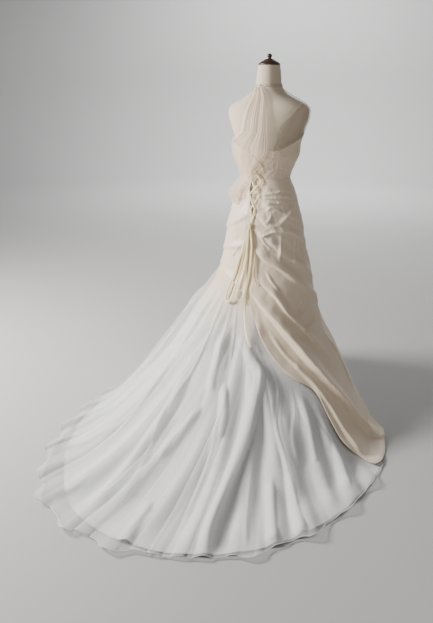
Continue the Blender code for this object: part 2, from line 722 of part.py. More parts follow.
def skirt_grid(side):
    """Bearing and station of one side's grid, waist to sheer hem, and the station of the satin's edge."""
    columns = LEFT_COLUMNS if side == "left" else RIGHT_COLUMNS
    shares = np.linspace(0.0, 1.0, columns + 1)
    satin = edge_station(SATIN_EDGE, shares, side)
    opaque = np.maximum(edge_station(UNDERSKIRT_HEM, shares, side), satin + HEM_STEP)
    sheer = hem_station(column_bearings(np.ones(shares.shape), shares, side))
    sheer = np.maximum(sheer, opaque + HEM_STEP)
    rows = [satin * share for share in HIP_SHARES[:-1]]
    rows += [blend(satin, opaque, index / TRAIN_ROWS) for index in range(TRAIN_ROWS)]
    rows += [blend(opaque, sheer, index / HEM_ROWS) for index in range(HEM_ROWS + 1)]
    station = np.minimum(np.array(rows), 1.0)
    bearing = column_bearings(station, shares[None, :], side)
    return bearing, station, np.broadcast_to(satin, station.shape)


def train_grid():
    """The rows and columns of the train's layers, from the left seam to the right end of the train."""
    left = [part[:, ::-1] for part in skirt_grid("left")]
    right = [part[:, 1:] for part in skirt_grid("right")]
    keep = right[0][-1] >= TRAIN_RIGHT
    joined = [np.concatenate([a, b[:, keep]], 1) for a, b in zip(left, right)]
    return [part[HIP_ROWS - TUCK_ROWS:] for part in joined]


def underskirt_lift(bearing, station, satin):
    """Lift of the opaque skirt's inner face: its folds, and its inset on the left."""
    folds = fold_lift(UNDERSKIRT_FOLDS, bearing, station, satin)
    share = ramp(INSET_FROM, INSET_FULL, bearing) * (1.0 - ramp(INSET_BACK, INSET_END, bearing))
    inset = INSET * share * smooth_value(INSET_SHARE, station) * ramp(0.0, INSET_ONSET, station - satin)
    return folds * ramp(0.0, HEM_SETTLE, HEM_SETTLE_END - station) - inset


def overlay_lift(bearing, station, satin):
    """Extra room of the sheer layer over the opaque one: it stays on its own surface on the left."""
    room = -np.minimum(underskirt_lift(bearing, station, satin), 0.0)
    own = fold_lift(OVERLAY_FOLDS, bearing, station, satin)
    free = ramp(0.0, FLUTE_FREE, station - satin) * ramp(FLUTE_START, 1.0, station)
    for flute in FLUTES:
        own = np.maximum(own, flute.rise * flute_shape(flute, bearing) * free)
    return room + own


def make_train():
    """The opaque underskirt and the sheer overlay, on the same rows and columns."""
    bearing, station, satin = train_grid()
    under = underskirt_lift(bearing, station, satin)
    opaque = slice(0, bearing.shape[0] - HEM_ROWS)
    inner = gown_point(bearing[opaque], station[opaque], under[opaque])
    outer = gown_point(bearing[opaque], station[opaque], under[opaque] + SATIN)
    for layer in (inner, outer):
        layer[..., 2] = np.maximum(layer[..., 2], 0.0)
    outer[..., 2] = np.maximum(outer[..., 2], SATIN / 2)
    wall_mesh("underskirt", pulled_in(inner, SEAM), pulled_in(outer, SEAM), "underskirt")
    past_hem = ramp(0.0, 1.0, np.arange(bearing.shape[0])[:, None] - (bearing.shape[0] - HEM_ROWS - 1))
    over = under + overlay_lift(bearing, station, satin) + (SATIN + LAYER_GAP) * (1.0 - past_hem)
    inner = gown_point(bearing, station, over)
    outer = gown_point(bearing, station, over + TULLE)
    wall_mesh("tulle_overlay", pulled_in(inner, SEAM), pulled_in(outer, SEAM), "tulle")


def satin_lift(bearing, station, folds):
    """Lift of the satin's inner face; past the train's ends it comes down to the floor."""
    over_train = ramp(TRAIN_RIGHT - TRAIN_END_RIGHT, TRAIN_RIGHT, bearing)
    over_train = over_train * ramp(-LEFT_SEAM, -LEFT_SEAM + TRAIN_END_LEFT, -bearing)
    lowered = (1.0 - over_train) * ramp(SATIN_LOWERS, 1.0, station)
    base = SATIN_LIFT * (1.0 - lowered) * ramp(0.0, SATIN_SETTLE, station)
    side = "left" if bearing.mean() > 0.0 else "right"
    away = np.abs(bearing - opening_edge(station, side))
    calm = np.maximum(ramp(CALM_FROM, CALM_TO, away), ramp(CALM_ABOVE, CALM_BELOW, station))
    return base + fold_lift(folds, bearing, station) * ramp(0.0, WAIST_SOFTNESS, station) * calm


def make_side(name, side, folds):
    """Satin of one side, from the waist seam to its lower edge."""
    bearing, station, _ = skirt_grid(side)
    rows = slice(0, HIP_ROWS + 1)
    along = slice(None, None, -1) if side == "left" else slice(None)
    bearing, station = bearing[rows, along], station[rows, along].copy()
    station[0] += SEAM
    lift = satin_lift(bearing, station, folds)
    inner = gown_point(bearing, station, lift)
    outer = gown_point(bearing, station, lift + SATIN)
    for layer in (inner, outer):
        layer[..., 2] = np.maximum(layer[..., 2], 0.0)
    outer[..., 2] = np.maximum(outer[..., 2], SATIN)
    gap = SEAM / 2
    return wall_mesh(name, pulled_in(inner, gap, SEAM), pulled_in(outer, gap, SEAM), "satin")


def make_front():
    """Plain satin front between the two side seams; its edge rows meet those of its neighbours."""
    left = skirt_grid("left")[1][:, -1]
    right = skirt_grid("right")[1][:HIP_ROWS + 1, -1]
    rows = len(left)
    right_rows = np.interp(np.linspace(0, HIP_ROWS, rows), np.arange(HIP_ROWS + 1), right)
    shares = np.linspace(0.0, 1.0, FRONT_COLUMNS + 1)
    bearing = blend(RIGHT_SEAM, LEFT_SEAM - 360.0, shares)[None, :] * np.ones((rows, 1))
    station = blend(right_rows[:, None], left[:, None], shares[None, :])
    station[-1] = 1.0 - (1.0 - left[-1]) * ramp(FRONT_CORNER, 1.0, shares)
    station[0] += SEAM
    lift = satin_lift(bearing, station, FRONT_FOLDS)
    inner = gown_point(bearing, station, lift)
    outer = gown_point(bearing, station, lift + SATIN)
    for layer in (inner, outer):
        layer[1::2, 0] = (layer[:-1:2, 0] + layer[2::2, 0]) / 2
        layer[..., 2] = np.maximum(layer[..., 2], 0.0)
    outer[..., 2] = np.maximum(outer[..., 2], SATIN / 2)
    gaps = (2.0 * SEAM, SEAM / 2)
    wall_mesh("skirt_front", pulled_in(inner, *gaps), pulled_in(outer, *gaps), "satin")


def bodice_top(bearing):
    """Station of the bodice's top edge, the same on both sides."""
    angle = np.abs((np.asarray(bearing, float) + 180.0) % 360.0 - 180.0)
    return WAIST_HEIGHT - smooth_value(BODICE_EDGE, angle)


def bodice_grid(start, end, columns):
    """Rows and columns of a bodice piece between two edges, each a bearing or a function of station."""
    shares = np.linspace(0.0, 1.0, columns + 1)[None, :]
    rise = np.linspace(0.0, 1.0, BODICE_ROWS + 1)[:, None]
    station = np.zeros((BODICE_ROWS + 1, columns + 1))
    for _ in range(BODICE_ROUNDS):
        bearing = blend(start(station), end(station), shares)
        station = bodice_top(bearing) * rise
    return bearing, station


def make_bodice():
    """Bodice front and the two backs, with seams at the sides and the lacing opening behind."""
    def fixed(angle):
        return lambda station: np.full(station.shape, angle)

    def opening(side):
        return lambda station: opening_edge(station, side)

    half = SEAM / 2
    pieces = [
        ("bodice_front", fixed(SIDE_SEAM), fixed(360.0 - SIDE_SEAM), BODICE_FRONT_COLUMNS, half, half),
        ("bodice_back_left", opening("left"), fixed(SIDE_SEAM), BODICE_BACK_COLUMNS, 0.0, half),
        ("bodice_back_right", opening("right"), fixed(-SIDE_SEAM), BODICE_BACK_COLUMNS, 0.0, half),
    ]
    for name, start, end, columns, first, last in pieces:
        bearing, station = bodice_grid(start, end, columns)
        inner = gown_point(bearing, station, BODICE_LIFT)
        outer = gown_point(bearing, station, BODICE_LIFT + SATIN)
        wall_mesh(name, pulled_in(inner, first, last), pulled_in(outer, first, last), "satin")


def make_modesty_panel():
    """Panel behind the lacing; its rows meet those of the bodice and the hips in front of it."""
    top = float(bodice_top(0.0))
    satin = float(edge_station(SATIN_EDGE, np.zeros(1), "left")[0])
    station = [top * (1.0 - index / BODICE_ROWS) for index in range(BODICE_ROWS)]
    station += [satin * share for share in HIP_SHARES[:MODESTY_HIP_ROWS + 1]]
    station = np.array(station)[:, None]
    shares = np.linspace(0.0, 1.0, MODESTY_COLUMNS + 1)[None, :]
    right, left = opening_edge(station, "right"), opening_edge(station, "left")
    bearing = blend(right - MODESTY_LAP, left + MODESTY_LAP, shares)
    station = station * np.ones_like(bearing)
    inner = gown_point(bearing, station, MODESTY_LIFT)
    outer = gown_point(bearing, station, MODESTY_LIFT + MODESTY_WALL)
    wall_mesh("modesty_panel", inner, outer, "satin")


def satin_top(station):
    """Lift of the satin's outer face at the lacing, bodice or hip."""
    hip = SATIN_LIFT * ramp(0.0, SATIN_SETTLE, station) + SATIN
    return np.where(np.asarray(station) < 0.0, BODICE_LIFT + SATIN, hip)


def degrees_for(width, bearing, station):
    """Degrees of bearing that span a width at a place."""
    step = np.linalg.norm(gown_point(bearing + 0.5, station) - gown_point(bearing - 0.5, station), axis=-1)
    return width / step


def make_loop_tape(name, side, inward):
    """Round cord along one edge of the opening, swinging out in loops that hold the lacing."""
    count = LOOPS * LOOP_POINTS + 1
    share = np.linspace(0.0, 1.0, count)
    station = blend(LOOPS_TOP, LOOPS_END, share)
    swing = 0.5 - 0.5 * np.cos(2.0 * math.pi * LOOPS * share)
    edge = opening_edge(station, side)
    wide = ramp(0.0, LOOP_NARROWS_OVER, OPENING_END - station)
    reach = blend(-LOOP_ROOT, LOOP_REACH * blend(LOOP_NARROWEST, 1.0, wide), swing)
    bearing = edge + inward * degrees_for(reach, edge, station)
    lift = satin_top(station) + LAYER_GAP + CORD / 2
    line = gown_point(bearing, station, lift)
    return tube_mesh(name, line, CORD / 2, CORD_SIDES, "ribbon")


def outward(bearing, station, lift):
    """Unit directions away from the gown at a line of places."""
    out = gown_point(bearing, station, lift + TULLE) - gown_point(bearing, station, lift)
    return out / np.linalg.norm(out, axis=-1, keepdims=True)


def line_frames(line):
    """Unit directions along a line of points."""
    ahead = np.gradient(line, axis=0)
    return ahead / np.linalg.norm(ahead, axis=-1, keepdims=True)


def tube_mesh(name, line, radius, sides, finish):
    """Round tube along a line of points, closed at both ends."""
    ahead = line_frames(line)
    side = np.cross(ahead, [0.0, 1.0, 0.0])
    side /= np.linalg.norm(side, axis=-1, keepdims=True)
    other = np.cross(ahead, side)
    angles = np.arange(sides) * 2.0 * math.pi / sides
    rings = (line[:, None] + radius * (np.cos(angles)[None, :, None] * side[:, None]
                                       + np.sin(angles)[None, :, None] * other[:, None]))
    points = list(rings.reshape(-1, 3)) + [line[0] - ahead[0] * radius, line[-1] + ahead[-1] * radius]
    count = len(line)
    first, last = count * sides, count * sides + 1
    faces = []
    for edge in range(sides):
        after = (edge + 1) % sides
        faces.append((first, after, edge))
        faces.append((last, (count - 1) * sides + edge, (count - 1) * sides + after))
        for ring in range(count - 1):
            a, b = ring * sides + edge, ring * sides + after
            faces += [(a, b, b + sides), (a, b + sides, a + sides)]
    return add_object(name, points, faces, finish)


def make_lacing(name, first_side, level):
    """One of the two zigzag runs of the lacing, over its own level so that the runs can cross."""
    turns = np.linspace(LACING_TOP, LACING_END, CROSSINGS + 1)
    corners = []
    for index, station in enumerate(turns):
        side = ("left", "right")[(index + first_side) % 2]
        edge = opening_edge(station, side)
        inward = -1.0 if side == "left" else 1.0
        tuck = blend(TUCK_NARROW, TUCK_WIDE, ramp(0.0, TUCK_NARROWS_OVER, OPENING_END - station))
        corners.append((edge + inward * float(degrees_for(tuck, edge, station)), station))
    flat = []
    for (b0, s0), (b1, s1) in zip(corners, corners[1:]):
        for share in np.arange(RUN_STEPS) / RUN_STEPS:
            flat.append((blend(b0, b1, share), blend(s0, s1, share)))
    flat.append(corners[-1])
    bearing, station = np.array(flat).T
    base = np.maximum(satin_top(station), satin_top(station + RIBBON_WIDTH_IN_STATION))
    lift = base + CORD + LACING_LIFT + level * LACING_STEP
    middle = gown_point(bearing, station, lift)
    out = outward(bearing, station, lift)
    ahead = line_frames(middle)
    across = np.cross(out, ahead)
    across /= np.linalg.norm(across, axis=-1, keepdims=True)
    into = np.diff(middle, axis=0)
    into /= np.linalg.norm(into, axis=-1, keepdims=True)
    bend = np.ones(len(middle))
    bend[1:-1] = np.sqrt((1.0 + (into[:-1] * into[1:]).sum(-1)) / 2.0)
    return ribbon_mesh(name, middle, across / bend[:, None], out, RIBBON, RIBBON_WALL, "ribbon")


def make_knot():
    """Soft knot of the bow: a rounded block over the end of the lacing."""
    lift = SATIN_LIFT + SATIN + CORD + LACING_LIFT
    centre = gown_point(KNOT_BEARING, KNOT_STATION, lift + KNOT_SIZE[1] / 2)
    work = bmesh.new()
    bmesh.ops.create_uvsphere(work, u_segments=10, v_segments=7, radius=0.5)
    points = []
    for vertex in work.verts:
        soft = [math.copysign(abs(2.0 * value) ** 0.5 / 2.0, value) for value in vertex.co]
        points.append([soft[axis] * KNOT_SIZE[axis] + centre[axis] for axis in range(3)])
    faces = [[vertex.index for vertex in face.verts] for face in work.faces]
    work.free()
    return add_object("bow_knot", points, faces, "ribbon")


def hanging_line(route):
    """Even points of a smooth curve through a ribbon's route."""
    rows = [(index,) + tuple(point) for index, point in enumerate(route)]
    fine = smooth_columns(rows, np.linspace(0, len(rows) - 1, HANG_SAMPLES * len(rows)))
    points = gown_point(fine[:, 0], fine[:, 1], fine[:, 2])
    travelled = np.concatenate([[0.0], np.cumsum(np.linalg.norm(np.diff(points, axis=0), axis=-1))])
    count = int(round(travelled[-1] / HANG_STEP)) + 1
    even = np.linspace(0.0, travelled[-1], count)
    index = np.interp(even, travelled, np.arange(len(points)))
    place = [np.interp(index, np.arange(len(points)), fine[:, axis]) for axis in range(3)]
    return place


def make_hanging(name, route):
    """Ribbon that hangs free from the knot, flat to the gown."""
    bearing, station, lift = hanging_line(route)
    middle = gown_point(bearing, station, lift)
    out = outward(bearing, station, lift)
    across = np.cross(out, line_frames(middle))
    across /= np.linalg.norm(across, axis=-1, keepdims=True)
    out = np.cross(line_frames(middle), across)
    return ribbon_mesh(name, middle, across, out, RIBBON, RIBBON_WALL, "ribbon")


def make_neck():
    """Halter band round the neck, and the hook that closes it behind."""
    bearing = np.arange(FORM_SIDES) * 360.0 / FORM_SIDES
    height = np.array([NECK_BAND_LOW, NECK_BAND_HIGH])[:, None]
    inner = form_point(bearing[None, :], height, NECK_BAND_LIFT)
    outer = form_point(bearing[None, :], height, NECK_BAND_LIFT + NECK_BAND_WALL)
    wall_mesh("neck_band", inner, outer, "ribbon", closed=True)
    middle = (NECK_BAND_LOW + NECK_BAND_HIGH) / 2
    off = NECK_BAND_LIFT + NECK_BAND_WALL + HOOK_GAP
    width, depth, tall = HOOK_SIZE
    span = np.degrees(width / NECK_RADIUS)
    bearing = HOOK_BEARING + span * np.array([-0.5, 0.0, 0.5])[None, :]
    height = np.array([middle - tall / 2, middle + tall / 2])[:, None]
    inner, outer = form_point(bearing, height, off), form_point(bearing, height, off + depth)
    wall_mesh("neck_hook", inner, outer, "metal")


def make_yoke():
    """Sheer yoke from the bodice's top edge to the neck band, over the right shoulder."""
    shares = np.linspace(0.0, 1.0, YOKE_COLUMNS + 1)[None, :]
    levels = np.array(YOKE_LEVELS)[:, None] * np.ones_like(shares)
    hem = np.full(shares.shape, YOKE_SIDES[0].height)
    for _ in range(YOKE_ROUNDS):
        sides = smooth_columns(YOKE_SIDES, hem)
        hem = WAIST_HEIGHT - bodice_top(blend(sides[..., 0], sides[..., 1], shares)) - YOKE_LAP
    height = np.concatenate([hem, blend(hem, levels[:1], 0.5), levels])
    sides = smooth_columns(YOKE_SIDES, height)
    bearing = blend(sides[..., 0], sides[..., 1], shares)
    sewn = GOWN_EASE + BODICE_LIFT + SATIN + YOKE_GAP
    lift = blend(sewn, YOKE_LIFT, ramp(0.0, YOKE_RISES_OVER, height - hem))
    lift = blend(lift, NECK_BAND_LIFT, ramp(YOKE_CLOSES_AT, YOKE_LEVELS[-1], height))
    inner, outer = form_point(bearing, height, lift), form_point(bearing, height, lift + TULLE)
    wall_mesh("tulle_yoke", inner, outer, "tulle")


def make_drape():
    """Sheer back panel, gathered at the neck, that falls to the left hip and ends in a puff."""
    shares = np.linspace(0.0, 1.0, DRAPE_COLUMNS + 1)[None, :]
    height = np.linspace(DRAPE_SIDES[0].height, YOKE_LEVELS[-1], DRAPE_ROWS + 1)[:, None]
    height = height * np.ones_like(shares)
    sides = smooth_columns(DRAPE_SIDES, height)
    bearing = blend(sides[..., 0], sides[..., 1], shares)
    pleats = DRAPE_PLEAT_RISE * (0.5 - 0.5 * np.cos(2.0 * math.pi * DRAPE_PLEATS * shares))
    pleats = pleats * ramp(0.0, DRAPE_PLEATS_START_OVER, height - DRAPE_SIDES[0].height)
    lift = smooth_value(DRAPE_LIFT, height)
    puff = np.maximum(lift - DRAPE_CLOSE, 0.0) * np.sin(math.pi * shares) ** 0.5
    lift = np.minimum(lift, DRAPE_CLOSE) + puff + pleats
    inner = gown_point(bearing, WAIST_HEIGHT - height, lift)
    outer = gown_point(bearing, WAIST_HEIGHT - height, lift + TULLE)
    wall_mesh("tulle_drape", inner, outer, "tulle")


def make_form():
    """Dress form: the padded body, its wood cap and finial, the pole and the round foot."""
    low, high = FORM[0].height, FORM[-1].height
    count = len(FORM_LEVELS) - 1
    height = np.array(FORM_LEVELS)[:, None]
    bearing = (np.arange(FORM_SIDES) * 360.0 / FORM_SIDES)[None, :]
    rings = form_point(bearing, height)
    points = list(rings.reshape(-1, 3)) + [(0.0, 0.0, low), (0.0, 0.0, high)]
    bottom, top = len(points) - 2, len(points) - 1
    faces = []
    for side in range(FORM_SIDES):
        after = (side + 1) % FORM_SIDES
        faces.append((bottom, side, after))
        faces.append((top, count * FORM_SIDES + after, count * FORM_SIDES + side))
        for ring in range(count):
            a, b = ring * FORM_SIDES + side, ring * FORM_SIDES + after
            faces += [(a, b + FORM_SIDES, b), (a, a + FORM_SIDES, b + FORM_SIDES)]
    add_object("form_body", points, faces, "form_cloth")
    turned("neck_cap", NECK_CAP, high + SEAM, "wood")
    turned("finial", FINIAL, high + SEAM + NECK_CAP[-1].height + SEAM, "wood")
    turned("stand_base", STAND_BASE, 0.0, "metal")
    foot = STAND_BASE[-1].height + SEAM
    length = low - SEAM - foot
    pole = [Turn(0.0, 0.0), Turn(POLE_RADIUS, 0.0), Turn(POLE_RADIUS, length), Turn(0.0, length)]
    turned("stand_pole", pole, foot, "metal")


def main():
    for item in list(bpy.data.objects):
        bpy.data.objects.remove(item, do_unlink=True)
    make_form()
    make_bodice()
    make_modesty_panel()
    make_train()
    make_side("hip_left", "left", HIP_LEFT_FOLDS)
    make_side("overskirt_right", "right", OVERSKIRT_FOLDS)
    make_front()
    make_loop_tape("loop_tape_left", "left", -1.0)
    make_loop_tape("loop_tape_right", "right", 1.0)
    make_lacing("lacing_under", 0, 0)
    make_lacing("lacing_over", 1, 1)
    make_knot()
    make_hanging("bow_loop_left", BOW_LOOP_LEFT)
    make_hanging("bow_loop_middle", BOW_LOOP_MIDDLE)
    make_hanging("ribbon_tail_long", RIBBON_TAIL_LONG)
    make_hanging("ribbon_tail_short", RIBBON_TAIL_SHORT)
    make_neck()
    make_yoke()
    make_drape()


main()
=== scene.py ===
"""Looks of a wedding dress with a train on a limbless dress form. Metres, +Z up, the train towards +Y.

A place on the gown is a bearing (an angle about the body's axis, 0 at the centre back, growing towards
+X, the wearer's left) and a station (below 0 the bodice, by height over the waist; 0 at the waist and 1
at the hem). Each layer of cloth stands a stated lift off that surface.
"""
from __future__ import annotations

import json
import logging
import math
from collections.abc import Callable, Sequence
from dataclasses import dataclass
from enum import Enum
from typing import NamedTuple, TypeVar

import bmesh
import bpy
import numpy as np
from mathutils import Matrix, Vector

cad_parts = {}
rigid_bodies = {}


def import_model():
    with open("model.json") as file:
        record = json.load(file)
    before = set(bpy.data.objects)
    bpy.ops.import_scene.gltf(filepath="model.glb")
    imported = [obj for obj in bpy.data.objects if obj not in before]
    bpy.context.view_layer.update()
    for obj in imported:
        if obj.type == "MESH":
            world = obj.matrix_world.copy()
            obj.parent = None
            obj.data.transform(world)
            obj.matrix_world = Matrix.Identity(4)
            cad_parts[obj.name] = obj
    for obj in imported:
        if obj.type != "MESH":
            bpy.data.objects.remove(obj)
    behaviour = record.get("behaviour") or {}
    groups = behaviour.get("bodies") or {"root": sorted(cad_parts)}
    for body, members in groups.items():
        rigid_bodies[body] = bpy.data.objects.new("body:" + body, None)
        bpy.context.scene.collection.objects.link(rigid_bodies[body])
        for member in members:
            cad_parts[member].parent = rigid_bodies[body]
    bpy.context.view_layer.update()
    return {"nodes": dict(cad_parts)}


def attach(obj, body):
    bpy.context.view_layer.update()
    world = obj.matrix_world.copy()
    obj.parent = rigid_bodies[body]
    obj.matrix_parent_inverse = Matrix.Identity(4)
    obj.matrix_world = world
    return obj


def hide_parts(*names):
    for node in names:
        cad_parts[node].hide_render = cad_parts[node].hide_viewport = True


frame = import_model()

LOG = logging.getLogger("gown")
BODY = "root"
FULL_TURN = 2.0 * math.pi
Grid = np.ndarray
Mesh = bpy.types.Mesh
Item = bpy.types.Object
Material = bpy.types.Material
Socket = bpy.types.NodeSocket
Triple = tuple[float, float, float]
Row = TypeVar("Row")


class Ring(NamedTuple):
    """One level of the dress form: half its width and its depths behind and before the axis."""

    height: float
    half_width: float
    back: float
    front: float


class Hoop(NamedTuple):
    """One ring of the skirt: its heights, the place of its middle, its reach and how round it is."""

    station: float
    z_back: float
    z_side: float
    z_front: float
    middle: float
    back: float
    left: float
    right: float
    front: float
    n_back: float
    n_front: float


class Opening(NamedTuple):
    """The lacing opening at a station: the bearing of its middle and half its width in degrees."""

    station: float
    middle: float
    half: float


class Edge(NamedTuple):
    """A point of an edge line: the station it has at a bearing."""

    bearing: float
    station: float


class Side(NamedTuple):
    """The two side edges of a sheer piece at a height."""

    height: float
    right: float
    left: float


class Level(NamedTuple):
    """A value at a height or station."""

    at: float
    value: float


class Hang(NamedTuple):
    """A point of a hanging ribbon's middle line."""

    bearing: float
    station: float
    lift: float


class Turn(NamedTuple):
    """A point of a turned profile."""

    radius: float
    height: float


class Fold(NamedTuple):
    """A fold along a crest of bearings and stations, with the width of each flank and its height."""

    crest: tuple[tuple[float, float], ...]
    first: float
    second: float
    height: float


class Flute(NamedTuple):
    """A wave of the sheer hem: where, how wide, how high, and how far it reaches out."""

    bearing: float
    half_angle: float
    rise: float
    reach: float


class Bumps(NamedTuple):
    """A layer of uneven relief: its height, the usual size of a bump and the fixed seed of its pattern."""

    height: float
    size: float
    seed: int

    def soft(self, u: Grid, v: Grid) -> Grid:
        """Smooth relief at places across and along a cloth."""
        return self.height * soft_noise(u, v, self.size, self.seed)

    def crisp(self, u: Grid, v: Grid) -> Grid:
        """Crisp crests, as of crushed cloth."""
        return self.height * (1.0 - np.abs(soft_noise(u, v, self.size, self.seed))) ** 3


def rows(kind: Callable[..., Row], *table: Sequence[object]) -> tuple[Row, ...]:
    """Name the columns of a table."""
    return tuple(kind(*row) for row in table)


MILLIMETRE = 0.001
WAIST_HEIGHT = 1.05
GOWN_EASE = 0.004
WAIST_SOFTNESS = 0.03
SATIN = 0.0020
SATIN_LIFT = 0.0040
LAYER_GAP = 0.0005
SIDE_BLEND = 1.5
LEFT_SEAM = 100.0
RIGHT_SEAM = -112.0
TRAIN_RIGHT = -91.0
SIDES = ("left", "right")
INWARD = {"left": -1.0, "right": 1.0}
COLOUR_TURN = (0.30, 0.62)
LATTICE = 97
CREST_SAMPLES = 72
CREST_START = 0.25
CREST_END = 0.15
END_HEIGHT = 0.25
FLANK_BLEND = 0.004
EDGE_ROUNDS = 40
EDGE_GUESS = 0.6
TURN_SAMPLES = 300
TRAIN_LEAN = 0.3
TRAIN_UP = 0.25
FORM = rows(
    Ring, (0.72, 0.158, 0.118, 0.1), (0.8, 0.168, 0.126, 0.104), (0.86, 0.164, 0.122, 0.103),
    (0.95, 0.136, 0.101, 0.096), (1.05, 0.106, 0.082, 0.086), (1.11, 0.126, 0.092, 0.098),
    (1.16, 0.146, 0.1, 0.112), (1.2, 0.149, 0.104, 0.118), (1.24, 0.16, 0.106, 0.112),
    (1.27, 0.171, 0.106, 0.104), (1.31, 0.187, 0.102, 0.094), (1.345, 0.191, 0.094, 0.082),
    (1.365, 0.176, 0.086, 0.072), (1.38, 0.15, 0.08, 0.064), (1.395, 0.118, 0.074, 0.056),
    (1.41, 0.09, 0.067, 0.05), (1.43, 0.068, 0.06, 0.047), (1.45, 0.058, 0.055, 0.047),
    (1.5, 0.052, 0.051, 0.047), (1.53, 0.047, 0.047, 0.044),
)
FORM_ROUNDNESS = 2.1
SKIRT = rows(
    Hoop, (0.0, 1.05, 1.05, 1.05, 0.0, 0.086, 0.11, 0.11, 0.09, 2.1, 2.1),
    (0.1, 0.95, 0.95, 0.95, 0.0, 0.108, 0.142, 0.144, 0.102, 2.1, 2.1),
    (0.2, 0.85, 0.85, 0.85, 0.0, 0.134, 0.171, 0.174, 0.112, 2.1, 2.1),
    (0.3, 0.75, 0.75, 0.75, 0.0, 0.146, 0.186, 0.192, 0.12, 2.1, 2.1),
    (0.4, 0.64, 0.65, 0.65, 0.0, 0.162, 0.205, 0.222, 0.138, 2.1, 2.1),
    (0.5, 0.52, 0.53, 0.54, 0.01, 0.205, 0.272, 0.25, 0.168, 2.1, 2.0),
    (0.6, 0.39, 0.41, 0.42, 0.04, 0.275, 0.35, 0.3, 0.235, 2.1, 1.9),
    (0.7, 0.26, 0.29, 0.31, 0.09, 0.38, 0.412, 0.394, 0.335, 2.1, 1.8),
    (0.8, 0.12, 0.16, 0.2, 0.19, 0.515, 0.468, 0.502, 0.47, 2.1, 1.75),
    (0.88, 0.03, 0.06, 0.11, 0.31, 0.65, 0.53, 0.59, 0.605, 2.15, 1.7),
    (0.94, 0.0, 0.01, 0.05, 0.41, 0.79, 0.578, 0.672, 0.715, 2.2, 1.62),
    (1.0, 0.0, 0.0, 0.0, 0.5, 0.918, 0.622, 0.768, 0.83, 2.2, 1.58),
)
OPENING = rows(
    Opening, (-0.21, 1.5, 26.0), (-0.13, 1.0, 24.0), (-0.02, 2.8, 19.2), (0.06, 3.9, 16.5),
    (0.12, 3.6, 7.9), (0.17, 2.2, 2.7), (0.2, 1.0, 0.0), (0.3, -3.0, 0.0), (0.42, -8.0, 0.0),
    (0.52, -9.5, 0.0), (0.75, -11.0, 0.0), (1.0, -12.0, 0.0),
)
SATIN_EDGE = rows(
    Edge, (-112.0, 1.0), (-107.5, 1.0), (-96.0, 0.989), (-87.5, 0.973), (-82.0, 0.93), (-74.5, 0.886),
    (-68.0, 0.827), (-61.3, 0.761), (-46.8, 0.717), (-32.0, 0.649), (-20.0, 0.576), (-9.5, 0.521),
    (2.0, 0.487), (20.0, 0.458), (45.0, 0.432), (74.0, 0.417), (100.0, 0.412),
)
UNDERSKIRT_HEM = rows(
    Edge, (-112.0, 0.987), (-57.0, 0.982), (-24.0, 0.98), (-6.0, 0.977), (7.3, 0.97), (15.8, 0.964),
    (29.5, 0.952), (100.0, 0.946),
)
UNDERSKIRT_FOLDS = rows(
    Fold, (((38, 0.58), (37, 0.8), (38, 0.97)), 0.075, 0.075, 0.022),
    (((24, 0.6), (20, 0.8), (18, 0.97)), 0.07, 0.07, 0.026),
    (((12, 0.62), (5, 0.8), (4, 0.96)), 0.075, 0.075, 0.024),
    (((4, 0.62), (-6, 0.76), (-9, 0.88), (-8, 0.98)), 0.07, 0.07, 0.03),
    (((-12, 0.63), (-17, 0.8), (-21, 0.9), (-21, 0.985)), 0.065, 0.065, 0.034),
    (((-19, 0.66), (-28, 0.76), (-31, 0.88), (-32, 0.98)), 0.055, 0.055, 0.028),
    (((-30, 0.7), (-38, 0.82), (-41, 0.92), (-42, 0.985)), 0.055, 0.055, 0.026),
    (((-40, 0.75), (-47, 0.88), (-51, 0.985)), 0.055, 0.055, 0.03),
    (((-54, 0.78), (-58, 0.88), (-61, 0.98)), 0.05, 0.05, 0.024),
    (((-63, 0.82), (-69, 0.9), (-71, 0.98)), 0.05, 0.05, 0.026),
    (((58, 0.62), (56, 0.8), (54, 0.97)), 0.08, 0.08, 0.02),
    (((78, 0.6), (76, 0.8), (74, 0.97)), 0.08, 0.08, 0.02),
)
OVERLAY_FOLDS = rows(
    Fold, (((66, 0.5), (60, 0.7), (57, 0.88)), 0.06, 0.06, 0.024),
    (((48, 0.5), (44, 0.7), (44, 0.9)), 0.055, 0.055, 0.018),
    (((32, 0.52), (30, 0.7), (28, 0.9)), 0.05, 0.05, 0.016),
    (((18, 0.52), (13, 0.72), (11, 0.94)), 0.045, 0.045, 0.014),
    (((8, 0.54), (1, 0.7), (-2, 0.86)), 0.04, 0.04, 0.012),
    (((-4, 0.56), (-13, 0.74), (-15, 0.92)), 0.04, 0.04, 0.012),
    (((-15, 0.6), (-24, 0.74), (-26, 0.94)), 0.04, 0.04, 0.014),
    (((-28, 0.67), (-37, 0.8), (-47, 0.93)), 0.04, 0.04, 0.014),
    (((84, 0.5), (88, 0.7), (88, 0.94)), 0.07, 0.07, 0.02),
)
FRONT_FOLDS = rows(
    Fold, (((-135, 0.45), (-138, 0.75), (-140, 0.98)), 0.08, 0.08, 0.022),
    (((-165, 0.45), (-165, 0.75), (-165, 0.98)), 0.08, 0.08, 0.022),
    (((-195, 0.45), (-196, 0.75), (-197, 0.98)), 0.08, 0.08, 0.022),
    (((-225, 0.45), (-227, 0.75), (-229, 0.98)), 0.08, 0.08, 0.022),
)
